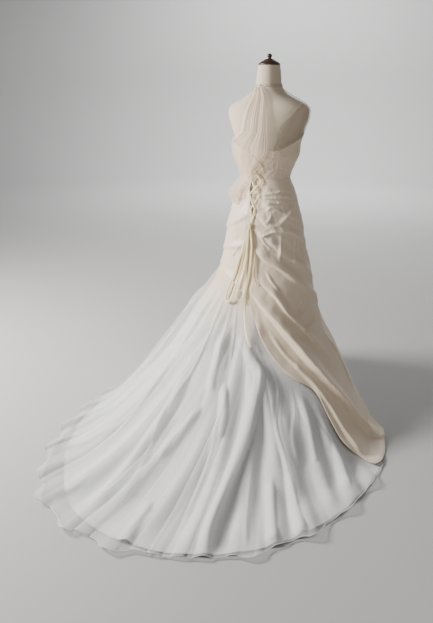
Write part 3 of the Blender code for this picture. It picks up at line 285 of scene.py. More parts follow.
FLUTES = rows(
    Flute, (87.0, 7.0, 0.016, 0.006), (72.0, 7.0, 0.018, 0.008), (58.0, 6.0, 0.02, 0.01),
    (45.0, 6.0, 0.024, 0.012), (33.0, 5.5, 0.02, 0.01), (22.0, 5.5, 0.026, 0.014), (8.0, 5.5, 0.018, 0.01),
    (-5.0, 5.5, 0.012, 0.01), (-36.0, 5.5, 0.012, 0.01), (-52.0, 5.5, 0.018, 0.012),
    (-66.0, 5.5, 0.018, 0.008), (-80.0, 5.5, 0.016, 0.006),
)
INSET_SHARE = rows(
    Level, (0.4, 0.0), (0.52, 0.7), (0.66, 1.0), (0.78, 0.8), (0.88, 0.25), (0.94, 0.0), (1.0, 0.0),
)
BODICE_EDGE = rows(
    Level, (0.0, 1.178), (25.0, 1.18), (50.0, 1.19), (67.5, 1.21), (90.0, 1.24), (115.0, 1.256),
    (145.0, 1.262), (180.0, 1.238),
)
BOW_LOOP_LEFT = rows(
    Hang, (6.6, 0.2208, 0.0137), (11.0, 0.262, 0.0137), (16.5, 0.329, 0.0142), (22.0, 0.394, 0.015),
    (25.0, 0.455, 0.0165), (23.5, 0.5, 0.02), (19.0, 0.526, 0.023), (15.0, 0.515, 0.0255),
    (14.0, 0.47, 0.024), (13.0, 0.41, 0.022), (9.8, 0.33, 0.02), (7.4, 0.262, 0.019), (6.1, 0.2208, 0.019),
)
BOW_LOOP_MIDDLE = rows(
    Hang, (3.8, 0.2217, 0.0155), (3.4, 0.265, 0.0156), (2.2, 0.33, 0.0165), (1.0, 0.4, 0.017),
    (-0.6, 0.465, 0.0195), (-0.2, 0.5, 0.0225), (3.6, 0.513, 0.026), (7.2, 0.5, 0.029), (7.4, 0.455, 0.028),
    (5.8, 0.39, 0.025), (5.2, 0.32, 0.022), (4.6, 0.262, 0.0209), (4.2, 0.2217, 0.0208),
)
RIBBON_TAIL_LONG = rows(
    Hang, (1.4, 0.2208, 0.0172), (-0.8, 0.249, 0.019), (-3.4, 0.321, 0.0215), (-3.2, 0.399, 0.0235),
    (-4.4, 0.44, 0.026), (-4.6, 0.483, 0.029), (-6.4, 0.529, 0.033), (-10.5, 0.581, 0.033),
    (-15.8, 0.623, 0.032), (-19.6, 0.644, 0.032),
)
RIBBON_TAIL_SHORT = rows(
    Hang, (1.4, 0.2207, 0.0124), (-3.4, 0.257, 0.014), (-8.0, 0.341, 0.0175), (-10.0, 0.41, 0.0195),
    (-15.0, 0.451, 0.02),
)
YOKE_SIDES = rows(
    Side, (1.17, -37.0, -256.0), (1.194, -38.0, -256.0), (1.219, -41.5, -254.0), (1.278, -47.0, -250.0),
    (1.32, -61.5, -245.0), (1.345, -69.0, -241.0), (1.368, -81.0, -238.0), (1.392, -94.0, -236.0),
    (1.41, -99.0, -234.0), (1.44, -108.0, -236.0),
)
DRAPE_SIDES = rows(
    Side, (0.925, 42.0, 78.0), (0.955, 38.0, 96.0), (0.99, 33.0, 104.0), (1.03, 21.0, 104.0),
    (1.075, 10.0, 102.0), (1.13, -14.0, 100.0), (1.18, -25.5, 96.0), (1.232, -25.0, 60.0),
    (1.26, -24.5, 42.0), (1.306, -23.5, 39.0), (1.388, -19.0, 36.0), (1.425, -6.0, 40.0), (1.44, 2.0, 42.0),
)
DRAPE_LIFT = rows(
    Level, (0.925, 0.0129), (0.945, 0.03), (0.97, 0.04), (1.0, 0.03), (1.04, 0.017), (1.1, 0.012),
    (1.2, 0.012), (1.3, 0.009), (1.4, 0.006), (1.42, 0.004), (1.44, -0.0015),
)
NECK_CAP = rows(
    Turn, (0.0, 0.0), (0.0475, 0.0), (0.048, 0.004), (0.04, 0.012), (0.026, 0.02), (0.015, 0.025),
    (0.0, 0.025),
)
FINIAL = rows(
    Turn, (0.0, 0.0), (0.009, 0.0), (0.0075, 0.004), (0.011, 0.01), (0.009, 0.017), (0.0035, 0.021),
    (0.0, 0.022),
)


SATIN_FOLDS = rows(
    Fold, (((-20, 0.05), (-50, 0.068), (-95, 0.095)), 0.02, 0.012, 0.0045),
    (((-16, 0.104), (-45, 0.135), (-90, 0.185)), 0.024, 0.016, 0.006),
    (((-12, 0.16), (-32, 0.204), (-58, 0.223), (-74, 0.246), (-98, 0.29)), 0.03, 0.014, 0.009),
    (((-8, 0.225), (-32, 0.265), (-60, 0.345), (-98, 0.45)), 0.034, 0.02, 0.009),
    (((-5, 0.296), (-24, 0.345), (-42, 0.375), (-67, 0.45), (-104, 0.555)), 0.046, 0.016, 0.02),
    (((-14, 0.425), (-39, 0.489), (-50, 0.547), (-60, 0.59), (-78, 0.69)), 0.04, 0.012, 0.016),
    (((-9, 0.478), (-25, 0.523), (-40, 0.577), (-53, 0.643), (-63, 0.709),
      (-74.5, 0.777), (-86, 0.845), (-98, 0.92), (-106, 0.985)), 0.075, 0.015, 0.03),
    (((-52, 0.7), (-66, 0.78), (-76, 0.865), (-84, 0.935)), 0.03, 0.014, 0.014),
    (((22, 0.075), (50, 0.1), (90, 0.13)), 0.012, 0.02, 0.0045),
    (((12, 0.16), (40, 0.2), (85, 0.25)), 0.016, 0.026, 0.006),
    (((4, 0.29), (30, 0.31), (80, 0.345)), 0.018, 0.03, 0.007),
) + FRONT_FOLDS
CRUSH_FOLDS = rows(
    Fold, (((-12, 0.069), (-45, 0.06), (-74, 0.046)), 0.009, 0.009, 0.0035),
    (((-17, 0.084), (-44, 0.083), (-63, 0.074)), 0.008, 0.006, 0.003),
    (((-18, 0.099), (-46, 0.105), (-78, 0.099)), 0.011, 0.007, 0.0042),
    (((-26, 0.141), (-37, 0.124), (-54, 0.142)), 0.01, 0.007, 0.0045),
    (((-82, 0.108), (-70, 0.143), (-60, 0.17), (-48, 0.196)), 0.011, 0.02, 0.0085),
    (((-36, 0.15), (-33, 0.172), (-27, 0.188)), 0.008, 0.012, 0.004),
    (((-18, 0.255), (-28, 0.24), (-41, 0.229), (-58, 0.231)), 0.012, 0.007, 0.0055),
    (((-50, 0.24), (-49, 0.29), (-47, 0.353)), 0.008, 0.014, 0.0065),
    (((-72, 0.262), (-69, 0.31), (-64, 0.381)), 0.01, 0.012, 0.0055),
    (((-84, 0.3), (-80, 0.37), (-76, 0.425)), 0.012, 0.012, 0.004),
    (((-17, 0.24), (-22, 0.27), (-34, 0.302)), 0.009, 0.009, 0.004),
    (((-28, 0.4), (-35, 0.436), (-44, 0.47)), 0.012, 0.01, 0.005),
    (((-68, 0.505), (-69, 0.54), (-60, 0.563)), 0.014, 0.012, 0.0065),
    (((-86, 0.575), (-76, 0.6), (-61, 0.61)), 0.014, 0.012, 0.0055),
    (((-57, 0.632), (-66, 0.645), (-78, 0.665)), 0.012, 0.009, 0.0035),
    (((-34, 0.6), (-46, 0.668), (-55, 0.712)), 0.02, 0.012, 0.006),
    (((-90, 0.655), (-96, 0.735), (-99, 0.82)), 0.02, 0.014, 0.007),
    (((24, 0.305), (30, 0.33), (37, 0.356)), 0.014, 0.01, 0.004),
    (((60, 0.18), (72, 0.215), (88, 0.235)), 0.012, 0.01, 0.0035),
)
TRAIN_FOLDS = rows(
    Fold, (((7, 0.6), (1.2, 0.7), (-4.8, 0.757)), 0.041, 0.052, 0.022),
    (((-7.5, 0.72), (-14.8, 0.781), (-17.5, 0.83)), 0.036, 0.052, 0.027),
    (((-13, 0.631), (-28.8, 0.713), (-28, 0.813), (-24.2, 0.931), (-25, 0.985)), 0.035, 0.057, 0.032),
    (((-2.2, 0.77), (1.8, 0.82), (3.7, 0.875)), 0.051, 0.034, 0.02),
    (((29.8, 0.68), (15.8, 0.777), (12.8, 0.847), (9.5, 0.909), (8.8, 0.96)), 0.072, 0.04, 0.02),
    (((-22, 0.86), (-20.5, 0.923), (-20.8, 0.975)), 0.034, 0.037, 0.016),
    (((-39.2, 0.87), (-40.5, 0.941), (-41, 0.985)), 0.034, 0.04, 0.022),
    (((-46, 0.87), (-47.8, 0.936), (-48.8, 0.99)), 0.034, 0.041, 0.02),
    (((-63.8, 0.794), (-69, 0.88), (-70, 0.975)), 0.035, 0.046, 0.022),
    (((-5.5, 0.915), (-7.3, 0.985)), 0.035, 0.041, 0.018),
    (((18.8, 0.89), (18, 0.953), (18.5, 0.98)), 0.043, 0.028, 0.014),
    (((33.2, 0.85), (36.5, 0.917), (40.2, 0.961)), 0.052, 0.032, 0.014),
    (((-28, 0.643), (-36.5, 0.754), (-39, 0.809), (-46, 0.876), (-49, 0.914)), 0.034, 0.032, 0.016),
    (((-52, 0.74), (-56, 0.83), (-58, 0.9)), 0.034, 0.034, 0.016),
)

NET_FOLDS = rows(
    Fold,
    (((-27, 0.61), (-34, 0.671), (-40, 0.74), (-40, 0.8), (-44, 0.863), (-48.8, 0.954)), 0.009, 0.018, 0.011),
    (((-48, 0.725), (-49, 0.78), (-47.5, 0.83), (-50, 0.88)), 0.009, 0.018, 0.009),
    (((44, 0.5), (40, 0.62), (33, 0.74), (28, 0.86)), 0.01, 0.022, 0.012),
    (((27, 0.5), (21, 0.6), (15, 0.7), (13, 0.8)), 0.009, 0.02, 0.01),
    (((14, 0.51), (8, 0.59), (2, 0.66), (-3, 0.72)), 0.008, 0.018, 0.008),
    (((6, 0.53), (-2, 0.61), (-8, 0.69)), 0.008, 0.016, 0.008),
    (((16, 0.78), (8, 0.86), (2, 0.93)), 0.009, 0.02, 0.01),
    (((-12, 0.78), (-16, 0.86), (-17, 0.95)), 0.009, 0.018, 0.009),
    (((-32, 0.86), (-33, 0.93), (-34, 0.975)), 0.009, 0.018, 0.009),
    (((62, 0.56), (60, 0.72), (62, 0.86)), 0.012, 0.026, 0.014),
)


def smooth_columns(table: Sequence[tuple[float, ...]], at: Grid) -> Grid:
    """Read every column of a table after its first, by a curve without overshoot.

    Args:
        table: Rows whose first column rises.
        at: Places along the first column.

    Returns:
        One value of each other column for each place.
    """
    values = np.array([tuple(row) for row in table], float)
    x, y = values[:, 0], values[:, 1:]
    slope = np.diff(y, axis=0) / np.diff(x)[:, None]
    step = np.diff(x)[:, None]
    tangent = np.zeros_like(y)
    tangent[0], tangent[-1] = slope[0], slope[-1]
    same = slope[:-1] * slope[1:] > 0
    before, after = 2 * step[1:] + step[:-1], step[1:] + 2 * step[:-1]
    low, high = np.where(same, slope[:-1], 1.0), np.where(same, slope[1:], 1.0)
    tangent[1:-1] = np.where(same, (before + after) / (before / low + after / high), 0.0)
    at = np.clip(np.asarray(at, float), x[0], x[-1])
    index = np.clip(np.searchsorted(x, at, side="right") - 1, 0, len(x) - 2)
    width = (x[index + 1] - x[index])[..., None]
    t = (at - x[index])[..., None] / width
    return ((2 * t**3 - 3 * t**2 + 1) * y[index] + (t**3 - 2 * t**2 + t) * width * tangent[index]
            + (3 * t**2 - 2 * t**3) * y[index + 1] + (t**3 - t**2) * width * tangent[index + 1])


def smooth_value(table: Sequence[tuple[float, float]], at: Grid) -> Grid:
    """Read a two-column table by the same curve."""
    return smooth_columns(table, at)[..., 0]


def ramp(low: float, high: float, value: Grid) -> Grid:
    """Rise smoothly from 0 to 1 between two values."""
    t = np.clip((np.asarray(value, float) - low) / (high - low), 0.0, 1.0)
    return t * t * (3.0 - 2.0 * t)


def blend(a: Grid, b: Grid, share: Grid) -> Grid:
    """Mix two values by a share."""
    return a + (b - a) * share


def unit(vectors: Grid) -> Grid:
    """Scale vectors to length 1."""
    return vectors / np.maximum(np.linalg.norm(vectors, axis=-1, keepdims=True), 1e-12)


def soft_noise(u: Grid, v: Grid, scale: float, seed: int) -> Grid:
    """Smooth uneven relief between -1 and 1 over a cloth.

    Args:
        u: Place across the cloth in metres.
        v: Place along the cloth in metres.
        scale: Usual size of a bump in metres.
        seed: Fixed seed of the pattern.

    Returns:
        The relief at each place.
    """
    lattice = np.random.default_rng(seed).uniform(-1.0, 1.0, (LATTICE, LATTICE))
    x, y = u / scale, v / scale
    i, j = np.floor(x).astype(int), np.floor(y).astype(int)
    near, far = i % LATTICE, (i + 1) % LATTICE
    fx, fy = ramp(0.0, 1.0, x - i), ramp(0.0, 1.0, y - j)
    low = blend(lattice[near, j % LATTICE], lattice[far, j % LATTICE], fx)
    high = blend(lattice[near, (j + 1) % LATTICE], lattice[far, (j + 1) % LATTICE], fx)
    return blend(low, high, fy)


def along(points: Sequence[Sequence[float]], count: int) -> Grid:
    """Places spread by index along a smooth curve through some points."""
    table = [(index, *point) for index, point in enumerate(points)]
    return smooth_columns(table, np.linspace(0, len(table) - 1, count))


def round_angles(count: int) -> Grid:
    """Angles of a full turn in equal steps."""
    return np.linspace(0.0, FULL_TURN, count, endpoint=False)

@dataclass(frozen=True)
class GownSurface:
    """The surface that every layer of the gown follows, and the dress form inside it."""

    ease: float = GOWN_EASE
    waist: float = WAIST_HEIGHT
    turn: float = 0.05
    rise: float = 0.0005

    def form_point(self, bearing: Grid, height: Grid) -> Grid:
        """Point on the dress form."""
        bearing, height = np.broadcast_arrays(np.radians(bearing), np.asarray(height, float))
        wide, back, front = np.moveaxis(smooth_columns(FORM, height), -1, 0)
        sine, cosine = np.sin(bearing), np.cos(bearing)
        radius = self.ring(sine, cosine, wide, np.where(cosine > 0, back, front), FORM_ROUNDNESS)
        return np.stack([radius * sine, radius * cosine, height], -1)

    def skirt_point(self, bearing: Grid, station: Grid) -> Grid:
        """Point on the skirt."""
        bearing, station = np.broadcast_arrays(np.radians(bearing), np.asarray(station, float))
        row = np.moveaxis(smooth_columns(SKIRT, station), -1, 0)
        z_back, z_side, z_front, middle, back, left, right, front, n_back, n_front = row
        sine, cosine = np.sin(bearing), np.cos(bearing)
        radius = self.ring(sine, cosine, np.where(sine > 0, left, right),
                           np.where(cosine > 0, back, front), np.where(cosine > 0, n_back, n_front))
        height = (z_side + (z_back - z_side) * np.clip(cosine, 0, 1) ** SIDE_BLEND
                  + (z_front - z_side) * np.clip(-cosine, 0, 1) ** SIDE_BLEND)
        return np.stack([radius * sine, middle + radius * cosine, height], -1)

    @staticmethod
    def ring(sine: Grid, cosine: Grid, wide: Grid, deep: Grid, roundness: Grid) -> Grid:
        """Radius of a rounded ring in a direction."""
        return ((np.abs(sine) / wide) ** roundness + (np.abs(cosine) / deep) ** roundness) ** (-1.0 / roundness)

    def normal(self, surface: Callable[[Grid, Grid], Grid], bearing: Grid, at: Grid, upward: float) -> Grid:
        """Outward normal of a surface of two values; upward is +1 where its second value rises."""
        across = surface(bearing + self.turn, at) - surface(bearing - self.turn, at)
        along = surface(bearing, at + self.rise) - surface(bearing, at - self.rise)
        return unit(np.cross(along, across) * upward)

    def form_lifted(self, bearing: Grid, height: Grid, lift: Grid) -> Grid:
        """Point at a lift off the dress form."""
        bearing, height, lift = np.broadcast_arrays(np.asarray(bearing, float), height, lift)
        out = self.normal(self.form_point, bearing, height, 1.0)
        return self.form_point(bearing, height) + out * lift[..., None]

    def point(self, bearing: Grid, station: Grid, lift: Grid = 0.0) -> Grid:
        """Point at a lift off the gown: the bodice above the waist, the skirt below it."""
        bearing, station, lift = np.broadcast_arrays(
            np.asarray(bearing, float), np.asarray(station, float), np.asarray(lift, float))
        below = np.maximum(station, 0.0)
        height = self.waist - np.minimum(station, 0.0)
        skirt_out = self.normal(self.skirt_point, bearing, np.clip(below, 0.0006, 0.9994), -1.0)
        bodice_out = self.normal(self.form_point, bearing, height, 1.0)
        out = unit(blend(bodice_out, skirt_out, ramp(-WAIST_SOFTNESS, WAIST_SOFTNESS, station)[..., None]))
        bodice = self.form_point(bearing, height) + bodice_out * self.ease
        place = np.where(station[..., None] >= 0.0, self.skirt_point(bearing, below), bodice)
        return place + out * lift[..., None]

    def outward(self, bearing: Grid, station: Grid, lift: Grid) -> Grid:
        """Direction away from the gown at a place."""
        return unit(self.point(bearing, station, lift + MILLIMETRE) - self.point(bearing, station, lift))


GOWN = GownSurface()


def fold_lift(folds: Sequence[Fold], bearing: Grid, station: Grid) -> Grid:
    """Height of a set of folds over the gown.

    Args:
        folds: The folds, each with a flank on the side that cross(out, crest) points to, and one opposite.
        bearing: Bearings of the cloth's points.
        station: Stations of the cloth's points.

    Returns:
        The lift of each point.
    """
    place = GOWN.point(bearing, station)
    flat = place.reshape(-1, 3)
    lift = np.zeros(len(flat))
    share = np.linspace(0, 1, CREST_SAMPLES)
    ends = ramp(0.0, CREST_START, share) * ramp(0.0, CREST_END, 1.0 - share)
    for fold in folds:
        crest = along(fold.crest, CREST_SAMPLES)
        line = GOWN.point(crest[:, 0], crest[:, 1])
        out = GOWN.outward(crest[:, 0], crest[:, 1], np.zeros(CREST_SAMPLES))
        ahead = unit(np.gradient(line, axis=0))
        side = unit(np.cross(out, ahead))
        reach = max(fold.first, fold.second) * 1.05
        low, high = line.min(0) - reach, line.max(0) + reach
        near = np.flatnonzero(((flat > low) & (flat < high)).all(-1))
        if not len(near):
            continue
        gap = flat[near][:, None, :] - line[None]
        index = np.linalg.norm(gap, axis=-1).argmin(-1)
        nearest = gap[np.arange(len(near)), index]
        signed = (nearest * side[index]).sum(-1)
        forward = (nearest * ahead[index]).sum(-1)
        inside = (index > 0) & (index < CREST_SAMPLES - 1)
        straight = np.sqrt(np.maximum((nearest**2).sum(-1) - forward**2, 0.0))
        distance = np.where(inside, straight, np.linalg.norm(nearest, axis=-1))
        width = blend(fold.second, fold.first, ramp(-FLANK_BLEND, FLANK_BLEND, signed))
        shape = np.cos(np.clip(distance / width, 0.0, 1.0) * math.pi / 2.0) ** 2
        rise = fold.height * shape * (END_HEIGHT + (1.0 - END_HEIGHT) * ends[index])
        lift[near] = np.maximum(lift[near], rise)
    return lift.reshape(place.shape[:-1])


def opening_edge(station: Grid, side: str) -> Grid:
    """Bearing of one edge of the lacing opening, or of the centre back seam below it."""
    middle, half = np.moveaxis(smooth_columns(OPENING, station), -1, 0)
    return middle + half if side == "left" else middle - half


def column_bearings(station: Grid, shares: Grid, side: str) -> Grid:
    """Bearings of columns that run from the centre back to a side seam."""
    return blend(opening_edge(station, side), LEFT_SEAM if side == "left" else RIGHT_SEAM, shares)


def edge_station(table: Sequence[Edge], shares: Grid, side: str) -> Grid:
    """Station where each column meets a line that is stated by bearing."""
    station = np.full(shares.shape, EDGE_GUESS)
    for _ in range(EDGE_ROUNDS):
        station = smooth_value(table, column_bearings(station, shares, side))
    return station


def flute_shape(flute: Flute, bearing: Grid) -> Grid:
    """Cross shape of one wave of the sheer hem."""
    away = np.clip(np.abs(bearing - flute.bearing) / (2.0 * flute.half_angle), 0.0, 0.5)
    return np.cos(away * math.pi) ** 2


@dataclass(frozen=True)
class Weave:
    """Rows and columns of a piece's mesh, and the wall between its two faces."""

    rows: int
    columns: int
    wall: float = SATIN

    @property
    def down(self) -> Grid:
        """Column of shares, from 0 at the first row to 1 at the last."""
        return np.linspace(0.0, 1.0, self.rows + 1)[:, None]

    @property
    def across(self) -> Grid:
        """Row of shares, from 0 at the first column to 1 at the last."""
        return np.linspace(0.0, 1.0, self.columns + 1)[None, :]


def cloth_lengths(points: Grid) -> tuple[Grid, Grid]:
    """Place of each point across and along its cloth, in metres."""
    across = np.linalg.norm(np.diff(points, axis=1), axis=-1)
    along = np.linalg.norm(np.diff(points, axis=0), axis=-1)
    u = np.concatenate([np.zeros((points.shape[0], 1)), np.cumsum(across, 1)], 1)
    v = np.concatenate([np.zeros((1, points.shape[1])), np.cumsum(along, 0)], 0)
    return u - u[:, points.shape[1] // 2][:, None], v


def link(name: str, mesh: Mesh, material: Material, smooth: float = 180.0) -> Item:
    """Object of a finished mesh, at the origin, with its material.

    Args:
        name: Name of the piece.
        mesh: Its mesh, in the row frame.
        material: Its finish.
        smooth: Edges sharper than this angle in degrees stay sharp.

    Returns:
        The new object.
    """
    mesh.shade_smooth()
    if smooth < 180.0:
        mesh.set_sharp_from_angle(angle=math.radians(smooth))
    mesh.materials.clear()
    mesh.materials.append(material)
    item = bpy.data.objects.new(name, mesh)
    bpy.context.collection.objects.link(item)
    return item


def cloth_mesh(name: str, inner: Grid, material: Material, outer: Grid | None = None,
               closed: bool = False, density: Grid | None = None) -> Item:
    """Cloth of one grid of points, or a wall between two grids.

    Args:
        name: Name of the piece.
        inner: Rows by columns of points.
        material: Finish of the cloth.
        outer: The outward face of a wall; without it the cloth is one surface.
        closed: Whether the last column meets the first.
        density: How close the threads lie at each point, from 0 to 1.

    Returns:
        The new object, with a UV map in metres and a "density" attribute.
    """
    rows, columns = inner.shape[:2]
    index = np.arange(rows * columns).reshape(rows, columns)
    if closed:
        index = np.concatenate([index, index[:, :1]], 1)
    quads = np.stack([index[:-1, :-1], index[:-1, 1:], index[1:, 1:], index[1:, :-1]], -1).reshape(-1, 4)
    face = inner if outer is None else outer
    u, v = cloth_lengths(face)
    points = face.reshape(-1, 3)
    places = np.stack([u, v], -1).reshape(-1, 2)
    faces = quads
    if outer is not None:
        shift = rows * columns
        points = np.concatenate([points, inner.reshape(-1, 3)])
        places = np.concatenate([places, places])
        rims = [index[0], index[-1][::-1]]
        if not closed:
            rims += [index[:, 0][::-1], index[:, -1]]
        walls = [np.stack([rim[1:], rim[:-1], rim[:-1] + shift, rim[1:] + shift], -1) for rim in rims]
        faces = np.concatenate([quads, quads[:, ::-1] + shift] + walls)
    mesh = bpy.data.meshes.new(name)
    mesh.from_pydata(points.tolist(), [], faces.tolist())
    layer = mesh.uv_layers.new(name="UVMap")
    loops = np.empty(len(mesh.loops), np.int32)
    mesh.loops.foreach_get("vertex_index", loops)
    layer.data.foreach_set("uv", places[loops].astype(np.float32).ravel())
    if density is not None:
        values = density.astype(np.float32).ravel()
        mesh.attributes.new("density", "FLOAT", "POINT").data.foreach_set("value", values)
    turn_outwards(mesh, face)
    return link(name, mesh, material, 60.0 if outer is not None else 180.0)


def shell(name: str, points: Grid, material: Material) -> Item:
    """Closed form of rings of points, with its poles merged."""
    item = cloth_mesh(name, points, material, closed=True)
    close_poles(item.data)
    return item


def gown_wall(name: str, bearing: Grid, station: Grid, low: Grid, high: Grid, wall: float,
              material: Material) -> Item:
    """Wall of cloth over the gown that comes down to the floor where it must.

    Args:
        name: Name of the piece.
        bearing: Bearings of its points.
        station: Stations of its points.
        low: Lift of its inner face.
        high: Lift of its outer face.
        wall: Thickness that it keeps on the floor.
        material: Its finish.

    Returns:
        The new object.
    """
    inner, outer = GOWN.point(bearing, station, low), GOWN.point(bearing, station, high)
    inner[..., 2] = np.maximum(inner[..., 2], 0.0)
    outer[..., 2] = np.maximum(outer[..., 2], wall)
    return cloth_mesh(name, inner, material, outer)


def turn_outwards(mesh: Mesh, face: Grid) -> None:
    """Turn a cloth's faces over where they look at the gown's axis."""
    work = bmesh.new()
    work.from_mesh(mesh)
    work.faces.ensure_lookup_table()
    count = (face.shape[0] - 1) * (face.shape[1] - 1)
    score = 0.0
    for each in list(work.faces)[:count:max(1, count // TURN_SAMPLES)]:
        centre = each.calc_center_median()
        behind = centre.y - TRAIN_LEAN * max(0.0, 1.0 - centre.z)
        score += each.normal.dot(Vector((centre.x, behind, TRAIN_UP)))
    if score < 0.0:
        bmesh.ops.reverse_faces(work, faces=work.faces)
    work.to_mesh(mesh)
    work.free()


class TrainGrid(NamedTuple):
    """Grid of the train's layers, from the left seam round the centre back to the right."""

    shares: Grid
    satin: Grid
    opaque: Grid
    down: Grid

    def bearings(self, station: Grid) -> Grid:
        """Bearing of every column at its stations."""
        split = self.shares.shape[1] // 2 + 1
        left = column_bearings(station[:, :split], self.shares[:, :split], "left")
        return np.concatenate([left, column_bearings(station[:, split:], self.shares[:, split:], "right")], 1)


@dataclass(frozen=True)
class Skirt:
    """The satin of the hips and overskirt, the opaque underskirt and the sheer overlay."""

    overskirt: Weave = Weave(230, 150)
    hip: Weave = Weave(120, 90)
    front: Weave = Weave(120, 110, 0.0016)
    train: Weave = Weave(160, 290, 0.0012)
    overlay: Weave = Weave(170, 420)
    satin_lift: float = SATIN_LIFT
    seam: float = 0.0003
    stand_off: float = 0.012
    rolled_edge: float = 0.0012
    tuck: float = 0.060
    net_tuck: float = 0.048
    inset: float = 0.070
    inset_bearings: tuple[float, float, float, float] = (34.0, 58.0, 84.0, 98.0)
    right_share: float = 0.80
    sheer_hem: float = 0.985
    corner_kick: float = 0.026
    corner_reach: float = 15.0
    fold_onset: float = 0.07
    side_folds: float = 0.55
    hem_show: float = 0.004
    net_air: float = 0.0012
    net_floor: float = 0.0006
    crushed: tuple[Bumps, Bumps] = (Bumps(0.0016, 0.034, 11), Bumps(0.0008, 0.018, 12))
    calm: tuple[Bumps, Bumps] = (Bumps(0.0016, 0.045, 13), Bumps(0.0008, 0.020, 14))
    soft: Bumps = Bumps(0.0045, 0.060, 21)
    pleat_seed: int = 31
    pleat_count: int = 34
    pleat_ends: tuple[float, float] = (-0.78, 0.98)
    pleat_swing: float = 0.9
    pleat_high: float = 0.011

    def satin_lift_at(self, bearing: Grid, station: Grid) -> Grid:
        """Lift of the satin's inner face over the gown, with its folds and its kicked corner."""
        outside = 1.0 - ramp(TRAIN_RIGHT - 8.0, TRAIN_RIGHT, bearing) * ramp(-LEFT_SEAM, 4.0 - LEFT_SEAM, -bearing)
        base = self.satin_lift * (1.0 - outside * ramp(0.90, 1.0, station)) * ramp(0.0, 0.05, station)
        away = np.minimum(*(np.abs(bearing - opening_edge(station, side)) for side in SIDES))
        clear = np.maximum(ramp(3.5, 14.0, away), ramp(0.22, 0.32, station))
        beside = np.clip(1.0 - np.abs(bearing - RIGHT_SEAM) / self.corner_reach, 0.0, 1.0)
        base = base + self.corner_kick * beside ** 2 * ramp(0.80, 0.93, station)
        folds = fold_lift(SATIN_FOLDS, bearing, station) + fold_lift(CRUSH_FOLDS, bearing, station)
        return base + folds * ramp(0.0, 0.03, station) * clear

    def crumple(self, height: Grid, bearing: Grid, station: Grid) -> Grid:
        """Small uneven relief of the satin: crushed at the right hip, calm elsewhere."""
        u, v = bearing * 0.0030, station * 1.05
        hip = ramp(-8.0, -26.0, bearing) * (1.0 - ramp(0.30, 0.46, station)) * ramp(0.01, 0.06, station)
        hip = hip * (1.0 - ramp(-92.0, -112.0, bearing))
        slant = u + 0.6 * v
        crushed = self.crushed[0].crisp(slant, v - 0.35 * u) + self.crushed[1].crisp(slant, v)
        calm = self.calm[0].soft(u * 2.0, v) + self.calm[1].soft(u, v)
        low = ramp(0.0, 0.10, station) * ramp(0.0, 0.03, height)
        return hip * crushed + (calm + self.calm[0].height) * low

    def make_satin(self, name: str, side: str, weave: Weave, material: Material) -> Item:
        """Satin of one side, from the waist seam to its lower edge."""
        down = weave.down
        station = down * edge_station(SATIN_EDGE, weave.across, side)
        bearing = column_bearings(station, weave.across, side)
        station[0] += self.seam
        lift = self.satin_lift_at(bearing, station)
        lift = lift + self.crumple(GOWN.point(bearing, station)[..., 2], bearing, station)
        if side == "right":
            back = ramp(-14.0, -26.0, bearing) * (1.0 - ramp(-80.0, -100.0, bearing))
            lift = lift + self.stand_off * ramp(0.90, 1.0, down) * back
        return self.satin_wall(name, bearing, station, lift, weave, material)

    def satin_wall(self, name: str, bearing: Grid, station: Grid, lift: Grid, weave: Weave,
                   material: Material) -> Item:
        """Wall of satin with a rolled lower edge."""
        roll = self.rolled_edge * np.sin(np.clip((weave.down - 0.985) / 0.015, 0.0, 1.0) * math.pi)
        return gown_wall(name, bearing, station, lift, lift + weave.wall + roll, weave.wall, material)

    def make_front(self, material: Material) -> Item:
        """Plain satin front between the side seams, full length to the floor."""
        weave = self.front
        end = edge_station(SATIN_EDGE, np.ones(1), "right")[0]
        station = weave.down * np.minimum(blend(end, 0.9999, ramp(0.0, 0.12, weave.across)), 1.0)
        bearing = blend(RIGHT_SEAM, LEFT_SEAM - 360.0, weave.across) * np.ones_like(station)
        station[0] += self.seam
        wrapped = np.where(bearing < -180.0, bearing + 360.0, bearing)
        height = GOWN.point(bearing, station)[..., 2]
        lift = self.satin_lift_at(wrapped, station) + self.crumple(height, wrapped, station)
        return self.satin_wall("skirt_front_satin", bearing, station, lift, weave, material)

    def train_grid(self, weave: Weave) -> TrainGrid:
        """Grid of one of the train's layers."""
        half = weave.columns // 2 + 1
        sides = {"left": np.linspace(1.0, 0.0, half)[None, :],
                 "right": np.linspace(0.0, self.right_share, half)[None, 1:]}
        satin = [edge_station(SATIN_EDGE, shares, side) for side, shares in sides.items()]
        hems = [edge_station(UNDERSKIRT_HEM, shares, side) for side, shares in sides.items()]
        satin, hem = np.concatenate(satin, 1), np.concatenate(hems, 1)
        shares = np.concatenate(list(sides.values()), 1)
        return TrainGrid(shares, satin, np.maximum(hem, satin + self.hem_show), weave.down)

    def under_lift(self, bearing: Grid, station: Grid, satin: Grid) -> Grid:
        """Lift of the opaque skirt: its folds, and its inset on the left."""
        onset = ramp(0.0, self.fold_onset, station - satin)
        folds = np.maximum(fold_lift(TRAIN_FOLDS, bearing, station),
                           self.side_folds * fold_lift(UNDERSKIRT_FOLDS, bearing, station)) * onset
        start, full, back, end = self.inset_bearings
        share = ramp(start, full, bearing) * (1.0 - ramp(back, end, bearing))
        inset = self.inset * share * smooth_value(INSET_SHARE, station) * ramp(0.0, 0.10, station - satin)
        relief = self.soft.soft(bearing * 0.010, station * 1.3 * 0.5) + self.soft.height
        soft = relief * onset * ramp(0.0, 0.03, 1.0 - station)
        return (folds + soft) * ramp(0.0, 0.05, 1.03 - station) - inset

